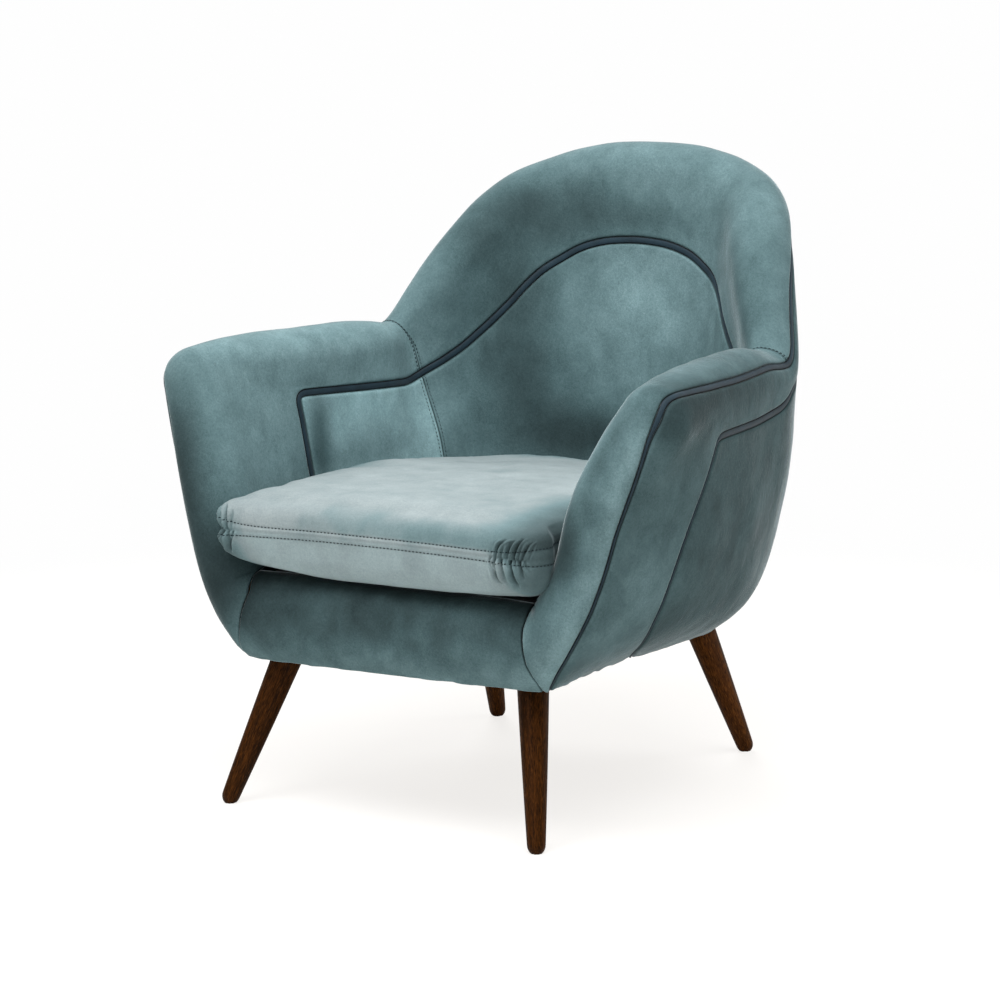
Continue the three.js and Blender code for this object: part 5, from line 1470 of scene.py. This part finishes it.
def leg_piece(name, foot, at190, sx, node, tone):
    """Turned and tapered, with a rounded foot, sawn level under the seat frame."""
    a = np.array([sx * foot[0], foot[1], 0.0])
    b = np.array([sx * at190[0], at190[1], 190.0])
    axis = unit(b - a)
    origin = a
    z_axis = Vector(axis)
    rot = z_axis.to_track_quat("Z", "Y")
    inv = rot.inverted()
    m = 64
    top_h = 212.9
    prof_pts = []
    r_foot, r_top, full = 12.2, 21.5, 212.9 / axis[2]
    for deg in (76, 62, 47, 32, 16, 0):
        f = math.radians(deg)
        prof_pts.append((-1.8 + 14.5 * (1 - math.sin(f)), 1.0 + (r_foot - 1.0) * math.cos(f)))
    for k in range(1, 30):
        t = k / 29
        x = prof_pts[5][0] + (full - prof_pts[5][0]) * t
        prof_pts.append((x, lerp(r_foot, r_top, t) + 0.35 * math.sin(math.pi * t)))
    verts, faces = [], []
    for x, r in prof_pts:
        for i in range(m):
            g = i / m * 2 * math.pi
            loc = rot @ Vector((r * math.cos(g), r * math.sin(g), 0))
            p = origin + axis * x + np.array(loc)
            verts.append(p)
    verts = np.array(verts).reshape(len(prof_pts), m, 3)
    # sawn level at the top, flat on the floor at the foot
    last, prev = verts[-1], verts[-2]
    d = axis / axis[2]
    verts[-1] = last + d * (top_h - last[:, 2])[:, None]
    for k in range(len(prof_pts)):
        low = verts[k, :, 2] < 0.0
        verts[k, low, 2] = 0.0
        high = verts[k, :, 2] > top_h
        verts[k, high] += d * (top_h - verts[k, high, 2])[:, None]
    flat = verts.reshape(-1, 3)
    local = np.array([list(inv @ Vector(p - origin)) for p in flat])
    rings = len(prof_pts)
    for i in range(rings - 1):
        for j in range(m):
            k = (j + 1) % m
            faces.append([i * m + j, i * m + k, (i + 1) * m + k, (i + 1) * m + j])
    faces.append(list(range(m))[::-1])
    faces.append([(rings - 1) * m + j for j in range(m)])
    ob = make_mesh(name, local, faces, {"nap": np.full(len(local), tone)})
    ob.data.polygons[len(ob.data.polygons) - 1].use_smooth = False
    ob.rotation_mode = "QUATERNION"
    ob.rotation_quaternion = rot
    ob.location = Vector(origin) / 1000
    bpy.context.view_layer.update()
    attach(ob, "chair")
    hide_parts(node)
    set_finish(ob, "leg_walnut")
    pads[name] = ob
    return ob


for side, sx in (("right", 1), ("left", -1)):
    leg_piece(f"leg_turned_front_{side}", *LEG_FRONT, sx, f"leg_front_{side}", -0.15)
    leg_piece(f"leg_turned_rear_{side}", *LEG_REAR, sx, f"leg_rear_{side}", 0.75)

# ------------------------------------------------------------------ finishes
def new_mat(name):
    m = bpy.data.materials.new(name)
    m.use_nodes = True
    nt = m.node_tree
    nt.nodes.clear()
    out = nt.nodes.new("ShaderNodeOutputMaterial")
    b = nt.nodes.new("ShaderNodeBsdfPrincipled")
    nt.links.new(b.outputs[0], out.inputs[0])
    return m, nt, b


class Net:
    """Small helper that wires nodes."""

    def __init__(self, nt):
        self.nt = nt

    def node(self, kind, **props):
        n = self.nt.nodes.new(kind)
        for k, v in props.items():
            setattr(n, k, v)
        return n

    def put(self, socket, value):
        if isinstance(value, bpy.types.NodeSocket):
            self.nt.links.new(value, socket)
        else:
            socket.default_value = value

    def coords(self, scale=(1, 1, 1), rot=(0, 0, 0)):
        c = self.node("ShaderNodeTexCoord")
        m = self.node("ShaderNodeMapping")
        self.nt.links.new(c.outputs["Object"], m.inputs["Vector"])
        m.inputs["Scale"].default_value = scale
        m.inputs["Rotation"].default_value = rot
        return m.outputs[0]

    def noise(self, vec, scale, detail=2.0, rough=0.5, distort=0.0):
        n = self.node("ShaderNodeTexNoise")
        self.put(n.inputs["Vector"], vec)
        self.put(n.inputs["Scale"], scale)
        n.inputs["Detail"].default_value = detail
        n.inputs["Roughness"].default_value = rough
        n.inputs["Distortion"].default_value = distort
        return n.outputs["Fac"]

    def math(self, op, a, b=0.0, c=0.0, clamp=False):
        n = self.node("ShaderNodeMath", operation=op, use_clamp=clamp)
        self.put(n.inputs[0], a)
        self.put(n.inputs[1], b)
        self.put(n.inputs[2], c)
        return n.outputs[0]

    def remap(self, x, a, b, c=0.0, d=1.0):
        n = self.node("ShaderNodeMapRange")
        n.interpolation_type = "SMOOTHSTEP"
        self.put(n.inputs["Value"], x)
        for k, v in (("From Min", a), ("From Max", b), ("To Min", c), ("To Max", d)):
            n.inputs[k].default_value = v
        return n.outputs["Result"]

    def mix(self, fac, a, b):
        n = self.node("ShaderNodeMix", data_type="RGBA")
        self.put(n.inputs["Factor"], fac)
        self.put(n.inputs[6], a if isinstance(a, bpy.types.NodeSocket) else (*a, 1.0))
        self.put(n.inputs[7], b if isinstance(b, bpy.types.NodeSocket) else (*b, 1.0))
        return n.outputs[2]

    def attr(self, name):
        n = self.node("ShaderNodeAttribute")
        n.attribute_name = name
        return n.outputs["Fac"]

    def bump(self, height, distance, strength=1.0, normal=None):
        n = self.node("ShaderNodeBump")
        self.put(n.inputs["Height"], height)
        n.inputs["Distance"].default_value = distance
        n.inputs["Strength"].default_value = strength
        if normal is not None:
            self.put(n.inputs["Normal"], normal)
        return n.outputs[0]


def srgb(r, g, b):
    f = lambda c: c / 12.92 if c <= 0.04045 else ((c + 0.055) / 1.055) ** 2.4
    return tuple(f(x / 255) for x in (r, g, b))


def velvet(name, dark, middle, light, sheen, sheen_rough, tint, mottle=1.0, seam_dark=0.4, grain=0.7, deepen=(0.4, -1.2, (0.9, 0.99, 1.0))):
    m, nt, b = new_mat(name)
    k = Net(nt)
    o = k.coords()
    crush = k.noise(o, 17.0, 3.0, 0.55, 0.6)
    patch = k.noise(k.coords((1, 1, 0.85)), 62.0, 3.0, 0.6, 0.9)
    pile = k.noise(k.coords((1, 1, 0.85)), 330.0, 3.0, 0.68, 0.3)
    fibre = k.noise(o, 820.0, 1.0, 0.6)
    a = k.remap(crush, 0.34, 0.66)
    c = k.remap(patch, 0.34, 0.68)
    x = k.math("ADD", k.math("MULTIPLY", a, 0.5), k.math("MULTIPLY", c, 0.5))
    x = k.math("ADD", k.math("MULTIPLY", k.math("SUBTRACT", x, 0.5), mottle), 0.5)
    x = k.math("ADD", x, k.math("MULTIPLY", k.math("SUBTRACT", pile, 0.5), grain))
    x = k.math("ADD", x, k.math("MULTIPLY", k.math("SUBTRACT", fibre, 0.5), grain * 0.8), clamp=True)
    col = k.mix(k.math("MULTIPLY", x, 2.0, clamp=True), dark, middle)
    col = k.mix(k.math("SUBTRACT", k.math("MULTIPLY", x, 2.0), 1.0, clamp=True), col, light)
    edge = k.attr("edge")
    worn = k.remap(edge, 0.2, 3.4, seam_dark, 1.0)
    nap = k.attr("nap")
    worn = k.math("MULTIPLY", worn, k.math("POWER", 2.0, nap))
    deep = k.node("ShaderNodeMix", data_type="RGBA", blend_type="MULTIPLY")
    k.put(deep.inputs["Factor"], k.math("MAXIMUM", k.math("MAXIMUM", k.remap(nap, deepen[0], deepen[1]), k.remap(edge, 3.6, 0.6)), k.attr("tint")))
    k.put(deep.inputs[6], col)
    k.put(deep.inputs[7], (*deepen[2], 1.0))
    shade = k.node("ShaderNodeVectorMath", operation="SCALE")
    k.put(shade.inputs[0], deep.outputs[2])
    k.put(shade.inputs["Scale"], worn)
    k.put(b.inputs["Base Color"], shade.outputs[0])
    k.put(b.inputs["Roughness"], k.math("ADD", 0.80, k.math("MULTIPLY", x, 0.15)))
    b.inputs["Specular IOR Level"].default_value = 0.12
    b.inputs["Sheen Weight"].default_value = sheen
    b.inputs["Sheen Roughness"].default_value = sheen_rough
    b.inputs["Sheen Tint"].default_value = (*tint, 1.0)
    n1 = k.bump(crush, 0.005, 0.18)
    n2 = k.bump(patch, 0.0018, 0.22, n1)
    n3 = k.bump(pile, 0.0010, 0.38, n2)
    k.put(b.inputs["Normal"], n3)
    return m


def piping_mat():
    m, nt, b = new_mat("piping_fabric")
    k = Net(nt)
    o = k.coords()
    w = k.noise(o, 900.0, 1.0, 0.6)
    c = k.noise(o, 40.0, 2.0, 0.5)
    x = k.math("ADD", k.math("MULTIPLY", w, 0.5), k.math("MULTIPLY", c, 0.5))
    col = k.mix(k.remap(x, 0.35, 0.65), srgb(15, 35, 45), srgb(26, 49, 61))
    edge = k.attr("edge")
    worn = k.remap(edge, -0.1, 1.7, 0.1, 1.0)
    shade = k.node("ShaderNodeVectorMath", operation="SCALE")
    k.put(shade.inputs[0], col)
    k.put(shade.inputs["Scale"], worn)
    k.put(b.inputs["Base Color"], shade.outputs[0])
    k.put(b.inputs["Roughness"], k.math("ADD", 0.55, k.math("MULTIPLY", w, 0.25)))
    b.inputs["Specular IOR Level"].default_value = 0.3
    b.inputs["Sheen Weight"].default_value = 0.08
    b.inputs["Sheen Roughness"].default_value = 0.5
    k.put(b.inputs["Normal"], k.bump(w, 0.0004, 0.6))
    return m


def thread_mat():
    m, nt, b = new_mat("thread")
    k = Net(nt)
    w = k.noise(k.coords(), 2200.0, 1.0, 0.6)
    k.put(b.inputs["Base Color"], k.mix(k.remap(w, 0.3, 0.7), srgb(10, 27, 33), srgb(22, 42, 49)))
    b.inputs["Roughness"].default_value = 0.6
    b.inputs["Specular IOR Level"].default_value = 0.3
    k.put(b.inputs["Normal"], k.bump(w, 0.0002, 0.5))
    return m


def walnut_mat():
    m, nt, b = new_mat("leg_walnut")
    k = Net(nt)
    long = k.coords((1, 1, 0.055))
    fine = k.coords((1, 1, 0.13))
    wav = k.noise(long, 95.0, 4.0, 0.6, 0.4)
    pore = k.noise(fine, 760.0, 2.0, 0.7)
    slow = k.noise(k.coords((1, 1, 0.12)), 30.0, 2.0, 0.5)
    a = k.mix(k.remap(wav, 0.36, 0.66), srgb(38, 19, 3), srgb(68, 37, 9))
    a = k.mix(k.remap(slow, 0.35, 0.7, 0.0, 0.5), a, srgb(52, 26, 7))
    a = k.mix(k.remap(pore, 0.52, 0.66, 0.0, 0.85), a, srgb(24, 11, 3))
    a = k.mix(k.remap(pore, 0.46, 0.34, 0.0, 0.6), a, srgb(92, 54, 20))
    shade = k.node("ShaderNodeVectorMath", operation="SCALE")
    k.put(shade.inputs[0], a)
    k.put(shade.inputs["Scale"], k.math("POWER", 2.0, k.attr("nap")))
    k.put(b.inputs["Base Color"], shade.outputs[0])
    k.put(b.inputs["Roughness"], k.math("ADD", 0.34, k.math("MULTIPLY", pore, 0.22)))
    b.inputs["Specular IOR Level"].default_value = 0.05
    k.put(b.inputs["Normal"], k.bump(pore, 0.0004, 0.35))
    return m


def plain_wood():
    m, nt, b = new_mat("frame_wood")
    k = Net(nt)
    wav = k.noise(k.coords((1, 0.12, 1)), 60.0, 4.0, 0.6, 0.5)
    pore = k.noise(k.coords((1, 0.05, 1)), 500.0, 2.0, 0.7)
    a = k.mix(k.remap(wav, 0.3, 0.7), srgb(176, 134, 92), srgb(206, 168, 122))
    a = k.mix(k.remap(pore, 0.55, 0.75, 0, 0.5), a, srgb(150, 108, 70))
    k.put(b.inputs["Base Color"], a)
    k.put(b.inputs["Roughness"], k.math("ADD", 0.5, k.math("MULTIPLY", pore, 0.2)))
    k.put(b.inputs["Normal"], k.bump(pore, 0.0003, 0.3))
    return m


def metal(name, base, rough):
    m, nt, b = new_mat(name)
    k = Net(nt)
    w = k.noise(k.coords(), 240.0, 3.0, 0.6)
    d = k.noise(k.coords(), 30.0, 2.0, 0.5)
    k.put(b.inputs["Base Color"], k.mix(d, tuple(c * 0.75 for c in base), base))
    b.inputs["Metallic"].default_value = 1.0
    k.put(b.inputs["Roughness"], k.math("ADD", rough, k.math("MULTIPLY", w, 0.2)))
    k.put(b.inputs["Normal"], k.bump(w, 0.0001, 0.3))
    return m


def woven(name, dark, light, pitch, sheen=0.1):
    m, nt, b = new_mat(name)
    k = Net(nt)
    n = []
    for rot in (0.0, math.pi / 2):
        w = k.node("ShaderNodeTexWave")
        w.wave_type = "BANDS"
        k.put(w.inputs["Vector"], k.coords((1, 1, 1), (0, 0, rot)))
        w.inputs["Scale"].default_value = 1 / pitch / 2
        w.inputs["Distortion"].default_value = 1.2
        w.inputs["Detail"].default_value = 1.0
        n.append(w.outputs["Fac"])
    x = k.math("MULTIPLY", k.math("ADD", n[0], n[1]), 0.5)
    v = k.noise(k.coords(), 25.0, 3.0, 0.6)
    k.put(b.inputs["Base Color"], k.mix(k.math("MULTIPLY", x, k.math("ADD", 0.5, v)), dark, light))
    b.inputs["Roughness"].default_value = 0.9
    b.inputs["Sheen Weight"].default_value = sheen
    k.put(b.inputs["Normal"], k.bump(x, 0.0004, 0.5))
    return m


def foam_mat():
    m, nt, b = new_mat("cushion_foam")
    k = Net(nt)
    w = k.noise(k.coords(), 700.0, 2.0, 0.6)
    k.put(b.inputs["Base Color"], k.mix(w, srgb(208, 196, 160), srgb(236, 228, 200)))
    b.inputs["Roughness"].default_value = 0.95
    k.put(b.inputs["Normal"], k.bump(w, 0.0006, 0.6))
    return m


BODY = velvet("body_velvet", srgb(74, 97, 100), srgb(109, 135, 139), srgb(138, 163, 167), 0.75, 0.22, (0.84, 0.94, 0.97), 0.2)
SEAT = velvet("cushion_velvet", srgb(129, 142, 145), srgb(148, 159, 161), srgb(164, 174, 176), 0.2, 0.35, (0.75, 0.94, 1.0), 0.2, 0.3, 0.85, (0.0, -0.75, (0.74, 0.97, 1.0)))
mats = {
    "body_velvet": BODY,
    "cushion_velvet": SEAT,
    "piping_fabric": piping_mat(),
    "cushion_foam": foam_mat(),
    "zip_tape": woven("zip_tape", srgb(40, 52, 60), srgb(70, 84, 92), 0.0009),
    "zip_metal": metal("zip_metal", (0.62, 0.6, 0.57), 0.28),
    "leg_plate_steel": metal("leg_plate_steel", (0.42, 0.42, 0.42), 0.4),
    "bolt_steel": metal("bolt_steel", (0.5, 0.49, 0.46), 0.3),
    "leg_walnut": walnut_mat(),
    "spring_steel": metal("spring_steel", (0.3, 0.3, 0.3), 0.35),
    "deck_cloth": woven("deck_cloth", srgb(70, 72, 72), srgb(104, 106, 104), 0.0016),
    "dust_cloth": woven("dust_cloth", srgb(16, 16, 17), srgb(38, 38, 40), 0.0012),
    "frame_wood": plain_wood(),
}
THREAD = thread_mat()
for name, ob in pads.items():
    ob.data.materials.clear()
    ob.data.materials.append(THREAD if name.startswith("stitching") else mats[ob["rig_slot"]])


KIND = [("leg_plate", "leg_plate_steel"), ("leg_bolt", "bolt_steel"), ("leg_", "leg_walnut"), ("seat_spring", "spring_steel"), ("seat_deck", "deck_cloth"), ("dust_cover", "dust_cloth"), ("zip_tape", "zip_tape"), ("zip_slider", "zip_metal")]
for name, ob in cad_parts.items():
    if ob.hide_render:
        continue
    kind = next((v for k_, v in KIND if name.startswith(k_)), "frame_wood")
    ob.data.materials.clear()
    ob.data.materials.append(mats[kind])

# ------------------------------------------------------------------ floor, light, finish
def floor_piece():
    """A pale floor that runs out into the white of the studio."""
    n, size = 96, 14.0
    verts = [(0.0, 0.0, 0.0)] + [(size * math.cos(2 * math.pi * i / n), size * math.sin(2 * math.pi * i / n), 0.0) for i in range(n)]
    mesh = bpy.data.meshes.new("floor")
    mesh.from_pydata(verts, [], [[0, 1 + i, 1 + (i + 1) % n] for i in range(n)])
    ob = bpy.data.objects.new("floor", mesh)
    scene.collection.objects.link(ob)
    m = bpy.data.materials.new("floor_paper")
    m.use_nodes = True
    nt = m.node_tree
    nt.nodes.clear()
    k = Net(nt)
    out = k.node("ShaderNodeOutputMaterial")
    lit = k.node("ShaderNodeBsdfDiffuse")
    lit.inputs["Color"].default_value = (0.26, 0.26, 0.26, 1)
    glow = k.node("ShaderNodeEmission")
    glow.inputs["Color"].default_value = (1.0, 0.978, 0.952, 1)
    glow.inputs["Strength"].default_value = FLOOR_GLOW
    both = k.node("ShaderNodeAddShader")
    nt.links.new(lit.outputs[0], both.inputs[0])
    nt.links.new(glow.outputs[0], both.inputs[1])
    white = k.node("ShaderNodeEmission")
    white.inputs["Color"].default_value = (0.992, 0.992, 0.992, 1)
    far = k.node("ShaderNodeVectorMath", operation="LENGTH")
    nt.links.new(k.coords(), far.inputs[0])
    edge = k.remap(far.outputs["Value"], 0.75, 1.9)
    seen = k.node("ShaderNodeMixShader")
    nt.links.new(edge, seen.inputs[0])
    nt.links.new(both.outputs[0], seen.inputs[1])
    nt.links.new(white.outputs[0], seen.inputs[2])
    bounce = k.node("ShaderNodeBsdfDiffuse")
    bounce.inputs["Color"].default_value = (0.85, 0.84, 0.82, 1)
    path = k.node("ShaderNodeLightPath")
    pick = k.node("ShaderNodeMixShader")
    nt.links.new(path.outputs["Is Camera Ray"], pick.inputs[0])
    nt.links.new(bounce.outputs[0], pick.inputs[1])
    nt.links.new(seen.outputs[0], pick.inputs[2])
    nt.links.new(pick.outputs[0], out.inputs[0])
    mesh.materials.append(m)
    return ob


FLOOR_GLOW = 0.80
floor_piece()


def area(name, loc, target, size, energy, colour=(1, 1, 1), size_y=None):
    d = bpy.data.lights.new(name, "AREA")
    d.energy, d.color, d.size = energy, colour, size
    if size_y:
        d.shape, d.size_y = "RECTANGLE", size_y
    o = bpy.data.objects.new(name, d)
    scene.collection.objects.link(o)
    o.location = loc
    o.rotation_mode = "QUATERNION"
    o.rotation_quaternion = (Vector(target) - Vector(loc)).to_track_quat("-Z", "Y")
    return o


area("overhead", (0.45, -1.0, 2.8), (0, -0.05, 0.4), 3.4, 112, (1.0, 0.998, 0.992), 1.7)
area("left", (-1.7, 1.7, 2.3), (0, 0.1, 0.6), 1.3, 46, (1.0, 1.0, 1.0), 1.5)
area("right", (1.9, 1.9, 1.3), (0, 0, 0.4), 1.1, 14, (1.0, 1.0, 1.0), 1.6)
area("front", (-0.6, -3.6, 1.9), (0, 0, 0.4), 2.2, 18, (1.0, 0.995, 0.99), 1.6)
world = bpy.data.worlds.new("world")
scene.world = world
world.use_nodes = True
wt = world.node_tree
wt.nodes.clear()
wk = Net(wt)
w_out = wk.node("ShaderNodeOutputWorld")
w_seen, w_light = wk.node("ShaderNodeBackground"), wk.node("ShaderNodeBackground")
w_seen.inputs[0].default_value, w_seen.inputs[1].default_value = (0.992, 0.992, 0.992, 1), 1.0
w_light.inputs[0].default_value, w_light.inputs[1].default_value = (1, 1, 1, 1), 0.24
w_path, w_mix = wk.node("ShaderNodeLightPath"), wk.node("ShaderNodeMixShader")
wt.links.new(w_path.outputs["Is Camera Ray"], w_mix.inputs[0])
wt.links.new(w_light.outputs[0], w_mix.inputs[1])
wt.links.new(w_seen.outputs[0], w_mix.inputs[2])
wt.links.new(w_mix.outputs[0], w_out.inputs[0])
scene.view_settings.view_transform = "Standard"
scene.view_settings.look = "None"
scene.view_settings.exposure = 0.0

bpy.context.view_layer.update()
